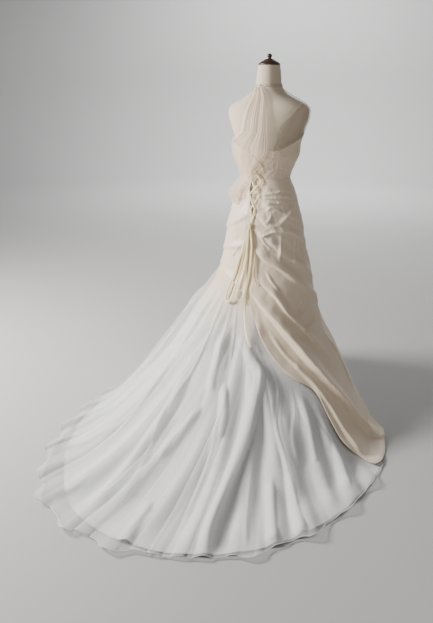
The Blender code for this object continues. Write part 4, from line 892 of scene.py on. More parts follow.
    def make_train(self, material: Material) -> Item:
        """The opaque underskirt behind, from under the satin to its hem."""
        wall, grid = self.train.wall, self.train_grid(self.train)
        station = np.minimum(blend(grid.satin - self.tuck, grid.opaque, grid.down), 1.0)
        bearing = grid.bearings(station)
        lift = self.under_lift(bearing, station, grid.satin)
        return gown_wall("underskirt_cloth", bearing, station, lift, lift + wall, wall, material)

    def make_overlay(self, material: Material) -> tuple[Item, Grid]:
        """The sheer overlay with its pleats and fluted hem; also returns its hem line."""
        grid = self.train_grid(self.overlay)
        hem_bearing = grid.bearings(grid.opaque)
        reach = np.max([flute.reach * flute_shape(flute, hem_bearing) for flute in FLUTES], 0)
        hem = np.minimum(np.maximum(self.sheer_hem + reach, grid.opaque + self.hem_show), 1.0)
        station = np.minimum(blend(grid.satin - self.net_tuck, hem, grid.down), 1.0)
        pleat, shift = self.pleats(grid, station)
        bearing = grid.bearings(station) + shift
        under = self.under_lift(bearing, station, grid.satin)
        onset = ramp(0.0, self.fold_onset, station - grid.satin)
        own = fold_lift(OVERLAY_FOLDS, bearing, station) * onset
        turned = fold_lift(NET_FOLDS, bearing, station) * onset
        free = ramp(0.0, 0.05, station - grid.satin) * ramp(0.90, 1.0, station)
        for flute in FLUTES:
            own = np.maximum(own, flute.rise * flute_shape(flute, bearing) * free)
        lift = np.maximum(under, 0.0) + own + pleat + turned + self.train.wall + LAYER_GAP + self.net_air * onset
        points = GOWN.point(bearing, station, lift)
        points[..., 2] = np.maximum(points[..., 2], self.net_floor)
        density = 0.15 + 36.0 * pleat + 60.0 * turned + 0.45 * ramp(0.985, 1.0, grid.down)
        item = cloth_mesh("tulle_overlay_cloth", points, material, density=np.clip(density, 0.0, 1.0))
        return item, points[-1]

    def pleats(self, grid: TrainGrid, station: Grid) -> tuple[Grid, Grid]:
        """Lift and sideways shift of the overlay's many narrow pleats."""
        rng = np.random.default_rng(self.pleat_seed)
        columns = grid.shares.shape[1]
        place = grid.shares * np.where(np.arange(columns) <= columns // 2, 1.0, -1.0)
        lift, shift = np.zeros(station.shape), np.zeros(station.shape)
        below = station - grid.satin
        grow = ramp(0.0, 0.22, below) * (0.35 + 0.65 * ramp(0.55, 1.0, station))
        for centre in np.linspace(*self.pleat_ends, self.pleat_count):
            centre = centre + rng.uniform(-0.018, 0.018)
            drift = rng.uniform(-0.05, 0.05)
            width = rng.uniform(0.010, 0.024)
            height = rng.uniform(0.003, self.pleat_high)
            begin = rng.uniform(0.0, 0.25)
            away = np.clip((place - centre - drift * (station - 0.8)) / width, -1.0, 1.0) * math.pi
            local = grow * ramp(begin, begin + 0.25, below)
            lift = np.maximum(lift, height * np.cos(away / 2.0) ** 2 * local)
            shift = shift + self.pleat_swing * np.sin(away) * local * height / self.pleat_high
        return lift, shift


@dataclass(frozen=True)
class Bodice:
    """Strapless satin bodice: front, two backs and the panel behind the lacing."""

    back: Weave = Weave(90, 70)
    front: Weave = Weave(90, 150)
    panel: Weave = Weave(120, 24, 0.0012)
    lift: float = -0.0010
    panel_lift: float = -0.0028
    panel_lap: float = 9.0
    panel_end: float = 0.19
    side_seam: float = 90.0
    ruches: tuple[Bumps, Bumps] = (Bumps(0.0013, 0.013, 41), Bumps(0.0007, 0.007, 42))
    swell: Bumps = Bumps(0.0010, 0.030, 43)
    edge_rounds: int = 12

    @staticmethod
    def top(bearing: Grid) -> Grid:
        """Station of the bodice's top edge."""
        angle = np.abs((np.asarray(bearing, float) + 180.0) % 360.0 - 180.0)
        return WAIST_HEIGHT - smooth_value(BODICE_EDGE, angle)

    def relief(self, bearing: Grid, station: Grid) -> Grid:
        """Fine slanting ruches of the satin over the boned lining."""
        u = bearing * 0.0026
        flow = station + 0.25 * u * np.sign(bearing)
        rise = self.ruches[0].crisp(u * 0.45, flow) + self.ruches[1].crisp(u * 0.30, flow)
        ends = ramp(0.0, 0.014, station - self.top(bearing)) * ramp(0.0, 0.010, -station)
        return (rise + self.swell.soft(u, station)) * ends

    def make(self, name: str, start: Callable[[Grid], Grid], end: Callable[[Grid], Grid], weave: Weave,
             material: Material) -> tuple[Item, Grid]:
        """One piece of the bodice between two edges, and the line of its top edge."""
        station = np.zeros((weave.rows + 1, weave.columns + 1))
        for _ in range(self.edge_rounds):
            bearing = blend(start(station), end(station), weave.across)
            station = self.top(bearing) * weave.down
        lift = self.lift + self.relief(np.where(bearing > 180.0, bearing - 360.0, bearing), station)
        inner = GOWN.point(bearing, station, np.minimum(lift, self.lift))
        outer = GOWN.point(bearing, station, lift + weave.wall)
        return cloth_mesh(name, inner, material, outer), outer[-1]

    def make_panel(self, material: Material) -> Item:
        """Panel behind the lacing."""
        panel, low = self.panel, self.panel_lift
        station = blend(float(self.top(np.zeros(1))[0]), self.panel_end, panel.down)
        bearing = blend(opening_edge(station, "right") - self.panel_lap,
                        opening_edge(station, "left") + self.panel_lap, panel.across)
        return gown_wall("modesty_panel_satin", bearing, station, low, low + panel.wall, panel.wall, material)


class Stretch(Enum):
    """How a ribbon is carried."""

    LOOP = "object"
    TAIL = "bare"


@dataclass(frozen=True)
class Ribbon:
    """The lacing ribbon: its width, wall and how it curls."""

    width: float = 0.010
    wall: float = 0.0009
    across: int = 6
    curl: float = 0.0010

    def mesh(self, name: str, middle: Grid, out: Grid, twist: Grid, breadth: Grid,
             material: Material) -> Item:
        """Ribbon along a line.

        Args:
            name: Name of the piece.
            middle: Points of its middle line.
            out: Outward direction at each point.
            twist: Turn about the line at each point, in radians.
            breadth: Share of the full width at each point.
            material: Its finish.

        Returns:
            The ribbon as a thin wall.
        """
        ahead = unit(np.gradient(middle, axis=0))
        across = unit(np.cross(out, ahead))
        out = np.cross(ahead, across)
        turned_across = across * np.cos(twist)[:, None] + out * np.sin(twist)[:, None]
        turned_out = out * np.cos(twist)[:, None] - across * np.sin(twist)[:, None]
        places = np.linspace(-0.5, 0.5, self.across + 1)
        bow = self.curl * (1.0 - 4.0 * places**2)
        face = (middle[:, None] + turned_across[:, None] * (places[None, :, None] * self.width * breadth[:, None, None])
                + turned_out[:, None] * bow[None, :, None])
        wall = turned_out[:, None] * self.wall / 2.0
        return cloth_mesh(name, face - wall, material, face + wall)


@dataclass(frozen=True)
class Lacing:
    """Cord loops along the opening, the laced ribbon, its knot, two bow loops and two tails."""

    ribbon: Ribbon = Ribbon()
    cord: float = 0.0016
    loops: int = 7
    loop_steps: int = 20
    loop_reach: float = 0.010
    loop_root: float = 0.004
    loop_ends: tuple[float, float] = (-0.120, 0.173)
    top: float = -0.112
    end: float = 0.1930
    narrow_from: float = 0.20
    crossings: int = 5
    crossing_steps: int = 15
    pinch: float = 0.55
    lift: float = 0.0022
    step: float = 0.0026
    hanging_step: float = 0.004
    end_breadth: float = 0.6
    knot_bearing: float = 4.0
    knot_station: float = 0.2065
    knot_size: Triple = (0.018, 0.011, 0.0303)
    knot_squareness: float = 0.6
    knot_groove: float = 0.07

    @staticmethod
    def satin_top(station: Grid) -> Grid:
        """Lift of the satin's outer face beside the lacing."""
        hip = SATIN_LIFT * ramp(0.0, 0.05, station) + SATIN
        return np.where(np.asarray(station) < 0.0, SATIN - MILLIMETRE, hip)

    @staticmethod
    def degrees_for(width: Grid, bearing: Grid, station: Grid) -> Grid:
        """Degrees of bearing that span a width at a place."""
        step = np.linalg.norm(GOWN.point(bearing + 0.5, station) - GOWN.point(bearing - 0.5, station), axis=-1)
        return width / step

    def loop_line(self, side: str) -> Grid:
        """Line of the cord that swings out in loops along one edge."""
        share = np.linspace(0.0, 1.0, self.loops * self.loop_steps + 1)
        station = blend(*self.loop_ends, share)
        swing = (0.5 - 0.5 * np.cos(FULL_TURN * self.loops * share)) ** 0.7
        edge = opening_edge(station, side)
        narrow = ramp(0.0, 0.10, self.narrow_from - station)
        reach = blend(-self.loop_root, self.loop_reach * blend(0.2, 1.0, narrow), swing)
        bearing = edge + INWARD[side] * self.degrees_for(reach, edge, station)
        return GOWN.point(bearing, station, self.satin_top(station) + LAYER_GAP + self.cord / 2)

    def make_run(self, name: str, order: int, material: Material) -> Item:
        """One of the two zigzag runs of the lacing; the second starts right and lies over the first."""
        corners = []
        for index, station in enumerate(np.linspace(self.top, self.end, self.crossings + 1)):
            side = SIDES[(index + order) % 2]
            edge = opening_edge(station, side)
            tuck = blend(0.001, 0.004, ramp(0.0, 0.12, self.narrow_from - station))
            corners.append((edge + INWARD[side] * float(self.degrees_for(tuck, edge, station)), station))
        places, pinch = [], []
        for (b0, s0), (b1, s1) in zip(corners, corners[1:]):
            for share in np.linspace(0.0, 1.0, self.crossing_steps)[:-1]:
                places.append((blend(b0, b1, share), blend(s0, s1, share)))
                pinch.append(self.pinch + (1.0 - self.pinch) * math.sin(math.pi * share) ** 0.5)
        bearing, station = np.array(places + corners[-1:]).T
        base = np.maximum(self.satin_top(station), self.satin_top(station + 0.02))
        lift = base + self.cord + self.lift + order * self.step
        middle, out = GOWN.point(bearing, station, lift), GOWN.outward(bearing, station, lift)
        twist = 0.18 * np.sin(np.arange(len(bearing)) * 0.9)
        return self.ribbon.mesh(name, middle, out, twist, np.array(pinch + [self.pinch]), material)

    def make_hanging(self, tail: Tail, material: Material) -> tuple[Item, Grid]:
        """A bow loop or tail that hangs free from the knot, and the line it follows."""
        fine = along(tail.route, 40 * len(tail.route))
        line = GOWN.point(*fine.T)
        travelled = np.concatenate([[0.0], np.cumsum(np.linalg.norm(np.diff(line, axis=0), axis=-1))])
        even = np.linspace(0.0, travelled[-1], int(travelled[-1] / self.hanging_step) + 1)
        place = [np.interp(even, travelled, column) for column in fine.T]
        share = even / even[-1]
        turn = tail.twist * np.sin(share * math.pi * 3.0) * ramp(0.0, 0.15, share)
        breadth = blend(self.end_breadth, 1.0, ramp(0.0, 0.10, share))
        if tail.way is Stretch.LOOP:
            breadth = breadth - (1.0 - self.end_breadth) * ramp(0.90, 1.0, share)
            turn = turn * ramp(0.0, 0.15, 1.0 - share)
        middle = GOWN.point(*place)
        return self.ribbon.mesh(tail.name + "_ribbon", middle, GOWN.outward(*place), turn, breadth, material), middle

    def make_knot(self, material: Material) -> Item:
        """Soft wrapped knot over the end of the lacing."""
        lift = SATIN_LIFT + SATIN + self.cord + self.lift
        centre = GOWN.point(self.knot_bearing, self.knot_station, lift + self.knot_size[1] / 2)
        around = round_angles(48)[None, :]
        rise = np.linspace(-math.pi / 2, math.pi / 2, 33)[:, None]
        ball = np.stack([np.cos(rise) * np.cos(around), np.cos(rise) * np.sin(around),
                         np.sin(rise) * np.ones_like(around)], -1)
        ball = np.sign(ball) * np.abs(ball) ** self.knot_squareness
        wraps = 1.0 - self.knot_groove * np.cos(6.0 * ball[..., 2] + 1.2 * ball[..., 0]) ** 2
        return shell("bow_knot_ribbon", ball * wraps[..., None] * np.array(self.knot_size) / 2.0 + centre, material)


def close_poles(mesh: Mesh) -> None:
    """Merge a closed shell's poles and turn its faces outwards."""
    work = bmesh.new()
    work.from_mesh(mesh)
    bmesh.ops.remove_doubles(work, verts=work.verts, dist=1e-6)
    bmesh.ops.recalc_face_normals(work, faces=work.faces)
    if work.calc_volume(signed=True) < 0.0:
        bmesh.ops.reverse_faces(work, faces=work.faces)
    work.to_mesh(mesh)
    work.free()


@dataclass(frozen=True)
class SheerTop:
    """The halter's neck band, the sheer yoke and the sheer panel that drapes down the back."""

    yoke: Weave = Weave(80, 170)
    drape: Weave = Weave(190, 150)
    band_low: float = 1.441
    band_high: float = 1.452
    band_lift: float = 0.0005
    band_wall: float = 0.0015
    yoke_lift: float = 0.0065
    yoke_lap: float = 0.008
    yoke_gap: float = 0.0026
    drape_close: float = 0.015
    pleat_rise: float = 0.0030
    gather_rise: float = 0.0016
    narrow_pleats: Bumps = Bumps(0.0018, 0.045, 51)
    puff_crush: Bumps = Bumps(0.006, 0.030, 52)
    hem_rounds: int = 20

    def make_band(self, material: Material) -> Item:
        """Band round the neck."""
        bearing = np.degrees(round_angles(128))[None, :]
        share = np.linspace(0.0, 1.0, 9)[:, None]
        height = blend(self.band_low, self.band_high, share)
        crown = 0.0008 * np.sin(share * math.pi) + 0.0003 * np.sin(np.radians(bearing) * 23.0)
        inner = GOWN.form_lifted(bearing, height, self.band_lift * np.ones_like(crown))
        outer = GOWN.form_lifted(bearing, height, self.band_lift + self.band_wall + crown)
        return cloth_mesh("neck_band_satin", inner, material, outer, closed=True)

    def make_yoke(self, bodice: Bodice, material: Material) -> tuple[Item, list[Grid]]:
        """Yoke from the bodice's top edge to the neck band, over the right shoulder, and its edge lines."""
        shares = self.yoke.across
        hem = np.full(shares.shape, YOKE_SIDES[0].height)
        for _ in range(self.hem_rounds):
            sides = smooth_columns(YOKE_SIDES, hem)
            hem = WAIST_HEIGHT - bodice.top(blend(sides[..., 0], sides[..., 1], shares)) - self.yoke_lap
        height = blend(hem, self.band_low - LAYER_GAP, self.yoke.down)
        sides = smooth_columns(YOKE_SIDES, height)
        bearing = blend(sides[..., 0], sides[..., 1], shares)
        sewn = GOWN_EASE + bodice.lift + SATIN + self.yoke_gap
        lift = blend(sewn, self.yoke_lift, ramp(0.0, 0.05, height - hem))
        lift = blend(lift, self.band_lift, ramp(1.405, self.band_low, height))
        gather = ramp(1.33, 1.425, height) * (1.0 - ramp(1.430, self.band_low, height))
        waves = 0.5 - 0.5 * np.cos(shares * math.pi * 34.0 + np.sin(shares * 21.0))
        points = GOWN.form_lifted(bearing, height, lift + self.gather_rise * gather * waves)
        density = 0.25 + 0.35 * ramp(1.36, 1.44, height) + 0.3 * (1.0 - ramp(0.0, 0.012, height - hem))
        item = cloth_mesh("tulle_yoke_cloth", points, material, density=density)
        return item, [points[:, 0], points[:, -1]]

    def make_drape(self, material: Material) -> tuple[Item, list[Grid]]:
        """Panel gathered at the neck that falls to the left hip and ends in a puff, and its edge lines."""
        shares = self.drape.across
        low = DRAPE_SIDES[0].height
        height = blend(low, self.band_low - LAYER_GAP, self.drape.down) * np.ones_like(shares)
        sides = smooth_columns(DRAPE_SIDES, height)
        bearing = blend(sides[..., 0], sides[..., 1], shares)
        above = height - low
        wander = shares + 0.02 * np.sin(height * 9.0) + 0.015 * np.sin(height * 23.0 + shares * 7.0)
        broad = self.pleat_rise * (0.5 - 0.5 * np.cos(FULL_TURN * 3.0 * wander))
        pleats = (broad + self.narrow_pleats.crisp(wander, height * 0.10)) * ramp(0.0, 0.08, above)
        lift = smooth_value(DRAPE_LIFT, height)
        puff = np.maximum(lift - self.drape_close, 0.0) * np.sin(math.pi * shares) ** 0.5
        crumple = self.puff_crush.crisp(bearing * 0.002, height) * ramp(1.04, 0.97, height) * ramp(0.0, 0.02, above)
        lift = np.minimum(lift, self.drape_close) + puff + pleats + crumple
        points = GOWN.point(bearing, WAIST_HEIGHT - height, lift)
        density = np.clip(0.35 + 0.35 * ramp(1.30, 1.44, height) + 30.0 * pleats, 0.0, 1.0)
        return cloth_mesh("tulle_drape_cloth", points, material, density=density), [points[:, 0], points[:, -1]]


@dataclass(frozen=True)
class DressForm:
    """The padded form, its wooden cap and finial."""

    sides: int = 144
    rows: int = 170
    end_rings: tuple[float, float, float] = (0.0, 0.5, 0.96)
    turn_sides: int = 72
    gap: float = 0.0003

    def make_body(self, material: Material) -> Item:
        """Smooth padded body, closed at both ends."""
        height = blend(FORM[0].height, FORM[-1].height, np.linspace(0.0, 1.0, self.rows + 1)[:, None])
        rings = GOWN.form_point(np.degrees(round_angles(self.sides))[None, :], height)
        low, high = ([ring * [[[share, share, 1.0]]] for share in self.end_rings] for ring in (rings[:1], rings[-1:]))
        return shell("form_body_jersey", np.concatenate(low + [rings] + high[::-1]), material)

    def make_turned(self, name: str, profile: Sequence[Turn], base: float, material: Material) -> Item:
        """Turned wooden piece on the axis."""
        fine = along(profile, 8 * len(profile))
        angle = round_angles(self.turn_sides)
        points = np.stack([fine[:, :1] * np.cos(angle), fine[:, :1] * np.sin(angle),
                           base + fine[:, 1:2] * np.ones_like(angle)], -1)
        return shell(name, points, material)


class Value:
    """A number socket that Python's operators work on."""

    def __init__(self, tree: Tree, socket: Socket) -> None:
        """Wrap a socket of a tree."""
        self.tree = tree
        self.socket = socket

    def maths(self, operation: str, *values: Value | float) -> Value:
        """Add a Math node on some values."""
        return self.tree.add("ShaderNodeMath", {"operation": operation}, dict(enumerate(values)), "Value")

    def __add__(self, other: Value | float) -> Value:
        """Sum."""
        return self.maths("ADD", self, other)

    def __radd__(self, other: float) -> Value:
        """Sum with a number on the left."""
        return self.maths("ADD", other, self)

    def __sub__(self, other: Value | float) -> Value:
        """Difference."""
        return self.maths("SUBTRACT", self, other)

    def __rsub__(self, other: float) -> Value:
        """Difference with a number on the left."""
        return self.maths("SUBTRACT", other, self)

    def __mul__(self, other: Value | float) -> Value:
        """Product."""
        return self.maths("MULTIPLY", self, other)

    def __rmul__(self, other: float) -> Value:
        """Product with a number on the left."""
        return self.maths("MULTIPLY", other, self)


class Tree:
    """Material under construction round one Principled shader."""

    def __init__(self, name: str) -> None:
        """Start a material."""
        self.material = bpy.data.materials.new(name)
        self.material.use_nodes = True
        self.nodes = self.material.node_tree.nodes
        self.links = self.material.node_tree.links
        self.shader = self.nodes["Principled BSDF"]

    def add(self, kind: str, settings: dict[str, object], values: dict[str | int, object], output: str) -> Value:
        """Add a node.

        Args:
            kind: Type of the node.
            settings: Its own settings, which are set first.
            values: Values or links of its sockets.
            output: Name of the output that is read.

        Returns:
            That output.
        """
        node = self.nodes.new(kind)
        for name, setting in settings.items():
            setattr(node, name, setting)
        for key, value in values.items():
            self.feed(node.inputs[key], value)
        return Value(self, node.outputs[output])

    def feed(self, socket: Socket, value: object) -> None:
        """Set or link a socket."""
        if isinstance(value, Value):
            self.links.new(value.socket, socket)
        else:
            socket.default_value = value

    def set(self, **values: object) -> None:
        """Set or link sockets of the shader, with underscores for spaces."""
        for name, value in values.items():
            self.feed(self.shader.inputs[name.replace("_", " ")], value)

    def cloth_place(self, scale: Triple) -> Value:
        """Place on the cloth from its UV map in metres, scaled."""
        return self.scaled(self.add("ShaderNodeUVMap", {"uv_map": "UVMap"}, {}, "UV"), scale)

    def object_place(self) -> Value:
        """Place in the object's own frame."""
        return self.add("ShaderNodeTexCoord", {}, {}, "Object")

    def scaled(self, place: Value, scale: Triple) -> Value:
        """A place with each of its axes scaled."""
        return self.add("ShaderNodeMapping", {}, {"Vector": place, "Scale": scale}, "Vector")

    def ranged(self, value: Value, low: float, high: float, first: float = 0.0, last: float = 1.0) -> Value:
        """Soft step from a first result at a low value to a last one at a high value."""
        return self.add("ShaderNodeMapRange", {"interpolation_type": "SMOOTHSTEP"},
                        {"Value": value, "From Min": low, "From Max": high, "To Min": first, "To Max": last}, "Result")

    def turn_share(self) -> Value:
        """Share from 0 below the turn of the skirt's colour to 1 above it."""
        height = self.add("ShaderNodeSeparateXYZ", {}, {"Vector": self.object_place()}, "Z")
        return self.ranged(height, *COLOUR_TURN)

    def noise(self, place: Value, scale: float, detail: float = 2.0, roughness: float = 0.5) -> Value:
        """Soft noise between 0 and 1."""
        return self.add("ShaderNodeTexNoise", {}, {"Vector": place, "Scale": scale, "Detail": detail,
                                                   "Roughness": roughness}, "Fac")

    def threads(self, across: float, along_cloth: float, detail: float = 1.0) -> Value:
        """Noise on the cloth, of a number of threads to the metre each way."""
        return self.noise(self.cloth_place((across, along_cloth, 1.0)), 1.0, detail)

    def mix(self, share: Value | float, first: Triple | Value, second: Triple | Value) -> Value:
        """Mix two colours by a share."""
        node = self.nodes.new("ShaderNodeMix")
        node.data_type = "RGBA"
        sockets = [each for each in node.inputs if each.enabled]
        for socket, value in zip(sockets, (share, first, second)):
            self.feed(socket, value if isinstance(value, (Value, float)) else (*value, 1.0)[:4])
        return Value(self, next(each for each in node.outputs if each.enabled))

    def finish(self, height: Value, strength: float, distance: float) -> Material:
        """Raise the surface by a height through one Bump node, and give the material."""
        self.set(Normal=self.add("ShaderNodeBump", {}, {"Height": height, "Strength": strength,
                                                        "Distance": distance}, "Normal"))
        return self.material


@dataclass(frozen=True)
class SatinFinish:
    """Woven satin: a soft gloss, slubs along the weft and a slight change of tone."""

    name: str
    colour: Triple
    shade: Triple
    roughness: float = 0.42
    sheen: float = 0.25
    slub: float = 900.0
    weave: float = 2600.0

    def build(self) -> Material:
        """Material of the satin."""
        tree = Tree(self.name)
        weft = tree.threads(self.slub * 0.12, self.slub, 2.0)
        thread = tree.threads(self.weave, self.weave * 0.35)
        cloud = tree.noise(tree.object_place(), 9.0, 3.0, 0.55)
        tree.set(Base_Color=tree.mix(cloud * 0.7 + weft * 0.3, self.colour, self.shade),
                 Roughness=self.roughness + 0.16 * (weft - 0.5) + 0.10 * (cloud - 0.5),
                 Sheen_Weight=self.sheen, Sheen_Roughness=0.45, Specular_IOR_Level=0.34)
        return tree.finish(weft * 0.6 + thread * 0.4, 0.22, 0.0004)


@dataclass(frozen=True)
class LiningFinish:
    """Plain matt cloth under the tulle: creamy near the satin, whiter towards the floor."""

    name: str = "underskirt_cloth"
    high: Triple = (0.86, 0.71, 0.55)
    low: Triple = (0.79, 0.805, 0.81)
    dim: Triple = (0.70, 0.685, 0.65)

    def build(self) -> Material:
        """Material of the cloth."""
        tree = Tree(self.name)
        cloud = tree.noise(tree.object_place(), 6.0, 3.0, 0.55)
        tone = tree.mix(tree.turn_share(), self.low, self.high)
        tree.set(Base_Color=tree.mix(0.30 * cloud, tone, self.dim), Roughness=0.72 + 0.10 * (cloud - 0.5),
                 Sheen_Weight=0.20, Specular_IOR_Level=0.30)
        return tree.finish(tree.threads(1400.0, 1400.0), 0.15, 0.0003)


@dataclass(frozen=True)
class TulleFinish:
    """Fine net: open where it hangs single, closer where it is gathered or hemmed."""

    name: str
    colour: Triple
    shade: Triple
    thin: float
    thick: float
    high: Triple | None = None
    mesh: float = 620.0
    cover_limits: tuple[float, float] = (0.05, 0.97)

    def build(self) -> Material:
        """Material of the net."""
        tree = Tree(self.name)
        net = tree.add("ShaderNodeTexVoronoi", {"feature": "DISTANCE_TO_EDGE"},
                       {"Vector": tree.cloth_place((self.mesh, self.mesh, 1.0)), "Scale": 1.0}, "Distance")
        threads = tree.ranged(net, 0.04, 0.30, 1.0, 0.0)
        density = tree.add("ShaderNodeAttribute", {"attribute_name": "density"}, {}, "Fac")
        cloud = tree.noise(tree.object_place(), 14.0, 3.0)
        lengthwise = tree.threads(120.0, 6.0, 2.0)
        cover = self.thin + (self.thick - self.thin) * density + 0.10 * (lengthwise - 0.5) + 0.10 * (threads - 0.4)
        least, most = self.cover_limits
        tone = tree.mix(cloud, self.colour, self.shade)
        if self.high:
            tone = tree.mix(tree.turn_share(), tone, self.high)
        tree.set(Base_Color=tone, Roughness=0.62 + 0.12 * (cloud - 0.5), Sheen_Weight=0.30, Specular_IOR_Level=0.30,
                 Alpha=tree.add("ShaderNodeClamp", {}, {"Value": cover, "Min": least, "Max": most}, "Result"))
        return tree.finish(threads, 0.15, 0.0003)


@dataclass(frozen=True)
class JerseyFinish:
    """Knitted cover of the dress form, a little grey with use."""

    name: str = "form_jersey"
    colour: Triple = (0.70, 0.60, 0.46)
    shade: Triple = (0.60, 0.50, 0.38)

    def build(self) -> Material:
        """Material of the cover."""
        tree = Tree(self.name)
        place = tree.object_place()
        wear, speck = tree.noise(place, 5.0, 4.0, 0.6), tree.noise(place, 160.0)
        tree.set(Base_Color=tree.mix(wear * 0.75 + speck * 0.25, self.colour, self.shade),
                 Roughness=0.80 + 0.12 * (wear - 0.5), Sheen_Weight=0.20)
        return tree.finish(tree.threads(1500.0, 700.0) * 0.7 + speck * 0.3, 0.25, 0.0005)


@dataclass(frozen=True)
class WoodFinish:
    """Dark stained, lacquered hardwood."""

    name: str = "stained_wood"
    colour: Triple = (0.030, 0.014, 0.009)
    grain: Triple = (0.070, 0.034, 0.020)

    def build(self) -> Material:
        """Material of the wood."""
        tree = Tree(self.name)
        stretched = tree.scaled(tree.object_place(), (1.0, 0.18, 1.0))
        rings = tree.add("ShaderNodeTexWave", {"wave_type": "BANDS", "bands_direction": "X"},
                         {"Vector": stretched, "Scale": 55.0, "Distortion": 6.0, "Detail": 3.0}, "Fac")
        pores = tree.noise(stretched, 420.0, 3.0)
        tree.set(Base_Color=tree.mix(rings * 0.7 + pores * 0.3, self.colour, self.grain),
                 Roughness=0.34 + 0.18 * pores, Coat_Weight=0.15, Coat_Roughness=0.18)
        return tree.finish(pores, 0.10, 0.0004)


@dataclass(frozen=True)
class MetalFinish:
    """Dark painted or plated metal."""

    name: str
    colour: Triple
    shade: Triple
    metallic: float
    roughness: float = 0.38

    def build(self) -> Material:
        """Material of the metal."""
        tree = Tree(self.name)
        place = tree.object_place()
        wear = tree.noise(place, 12.0, 4.0)
        tree.set(Base_Color=tree.mix(wear, self.colour, self.shade), Metallic=self.metallic,
                 Roughness=self.roughness + 0.2 * (wear - 0.5))
        return tree.finish(tree.noise(place, 260.0), 0.08, 0.0004)


@dataclass(frozen=True)
class FloorFinish:
    """Plain pale studio floor."""

    name: str = "studio_floor"
    colour: Triple = (0.47, 0.47, 0.468)
    shade: Triple = (0.45, 0.45, 0.448)

    def build(self) -> Material:
        """Material of the floor."""
        tree = Tree(self.name)
        tree.set(Base_Color=tree.mix(tree.noise(tree.object_place(), 0.8), self.colour, self.shade), Roughness=0.9)
        return tree.material


class PathTree:
    """Geometry Nodes that lay a tube or a row of stitches along a line."""

    def __init__(self, name: str, sizes: dict[str, float]) -> None:
        """Start a tree with named size inputs."""
        self.group = bpy.data.node_groups.new(name, "GeometryNodeTree")
        self.ids: dict[str, str] = {}
        face = self.group.interface
        face.new_socket(name="Geometry", in_out="INPUT", socket_type="NodeSocketGeometry")
        face.new_socket(name="Geometry", in_out="OUTPUT", socket_type="NodeSocketGeometry")
        for size, value in sizes.items():
            socket = face.new_socket(name=size, in_out="INPUT", socket_type="NodeSocketFloat")
            socket.default_value = value
            self.ids[size] = socket.identifier
        socket = face.new_socket(name="Material", in_out="INPUT", socket_type="NodeSocketMaterial")
        self.ids["Material"] = socket.identifier
        self.start = self.group.nodes.new("NodeGroupInput")
        self.end = self.group.nodes.new("NodeGroupOutput")

    def add(self, kind: str, settings: dict[str, object], values: dict[str, object]) -> bpy.types.Node:
        """Add a node with its settings and its values or links."""
        node = self.group.nodes.new(kind)
        for name, setting in settings.items():
            setattr(node, name, setting)
        for key, value in values.items():
            if isinstance(value, Socket):
                self.group.links.new(value, node.inputs[key])
            else:
                node.inputs[key].default_value = value
        return node

    def finish(self, geometry: Socket) -> None:
        """Realise the instances and set the material."""
        real = self.add("GeometryNodeRealizeInstances", {}, {"Geometry": geometry})
        dressed = self.add("GeometryNodeSetMaterial", {},
                           {"Geometry": real.outputs[0], "Material": self.start.outputs["Material"]})
        self.group.links.new(dressed.outputs[0], self.end.inputs[0])

    def run(self, name: str, lines: Sequence[Grid], sizes: dict[str, float],
            material: Material) -> Item:
        """Run the tree along some lines.

        Args:
            name: Name of the piece.
            lines: Lines of points.
            sizes: Values of the named inputs.
            material: Finish of the piece.

        Returns:
            A plain mesh object with no modifier.
        """
        mesh = bpy.data.meshes.new(name + "_line")
        points = np.concatenate(lines)
        edges, start = [], 0
        for line in lines:
            edges += [(start + index, start + index + 1) for index in range(len(line) - 1)]
            start += len(line)
        mesh.from_pydata(points.tolist(), edges, [])
        guide = bpy.data.objects.new(name + "_guide", mesh)
        bpy.context.collection.objects.link(guide)
        modifier = guide.modifiers.new("path", "NODES")
        modifier.node_group = self.group
        for size, value in sizes.items():
            modifier[self.ids[size]] = value
        modifier[self.ids["Material"]] = material
        graph = bpy.context.evaluated_depsgraph_get()
        graph.update()
        made = bpy.data.meshes.new_from_object(guide.evaluated_get(graph), depsgraph=graph)
        bpy.data.objects.remove(guide)
        return link(name, made, material)


def cord_tree() -> PathTree:
    """Tree of a round tube along a line, closed at its ends."""
    tree = PathTree("round_cord", {"Radius": 0.001})
    size = tree.start.outputs
    line = tree.add("GeometryNodeMeshToCurve", {}, {"Mesh": size["Geometry"]})
    ring = tree.add("GeometryNodeCurvePrimitiveCircle", {}, {"Resolution": 8, "Radius": size["Radius"]})
    tube = tree.add("GeometryNodeCurveToMesh", {},
                    {"Curve": line.outputs[0], "Profile Curve": ring.outputs[0], "Fill Caps": True})
    tree.finish(tube.outputs[0])
    return tree


def stitch_tree() -> PathTree:
    """Tree of stitches laid end to end along a line."""
    tree = PathTree("stitches", {"Spacing": 0.0035, "Length": 0.0022, "Thickness": 0.0003})
    size = tree.start.outputs
    line = tree.add("GeometryNodeMeshToCurve", {}, {"Mesh": size["Geometry"]})
    even = tree.add("GeometryNodeResampleCurve", {"mode": "LENGTH"},
                    {"Curve": line.outputs[0], "Length": size["Spacing"]})
    ahead = tree.add("GeometryNodeInputTangent", {}, {})
    turn = tree.add("FunctionNodeAlignRotationToVector", {"axis": "Z"}, {"Vector": ahead.outputs[0]})
    stitch = tree.add("GeometryNodeMeshCylinder", {},
                      {"Vertices": 6, "Radius": size["Thickness"], "Depth": size["Length"]})
    placed = tree.add("GeometryNodeInstanceOnPoints", {},
                      {"Points": even.outputs[0], "Instance": stitch.outputs["Mesh"], "Rotation": turn.outputs[0]})
    tree.finish(placed.outputs[0])
    return tree


class Cut(NamedTuple):
    """Flat cut of a cloth: its width and length, its area, how it is held and what it hangs on."""

    width: float
    length: float
    area: float
    held: str = "stretched"
    rests_on: tuple[str, ...] = ("form_body",)


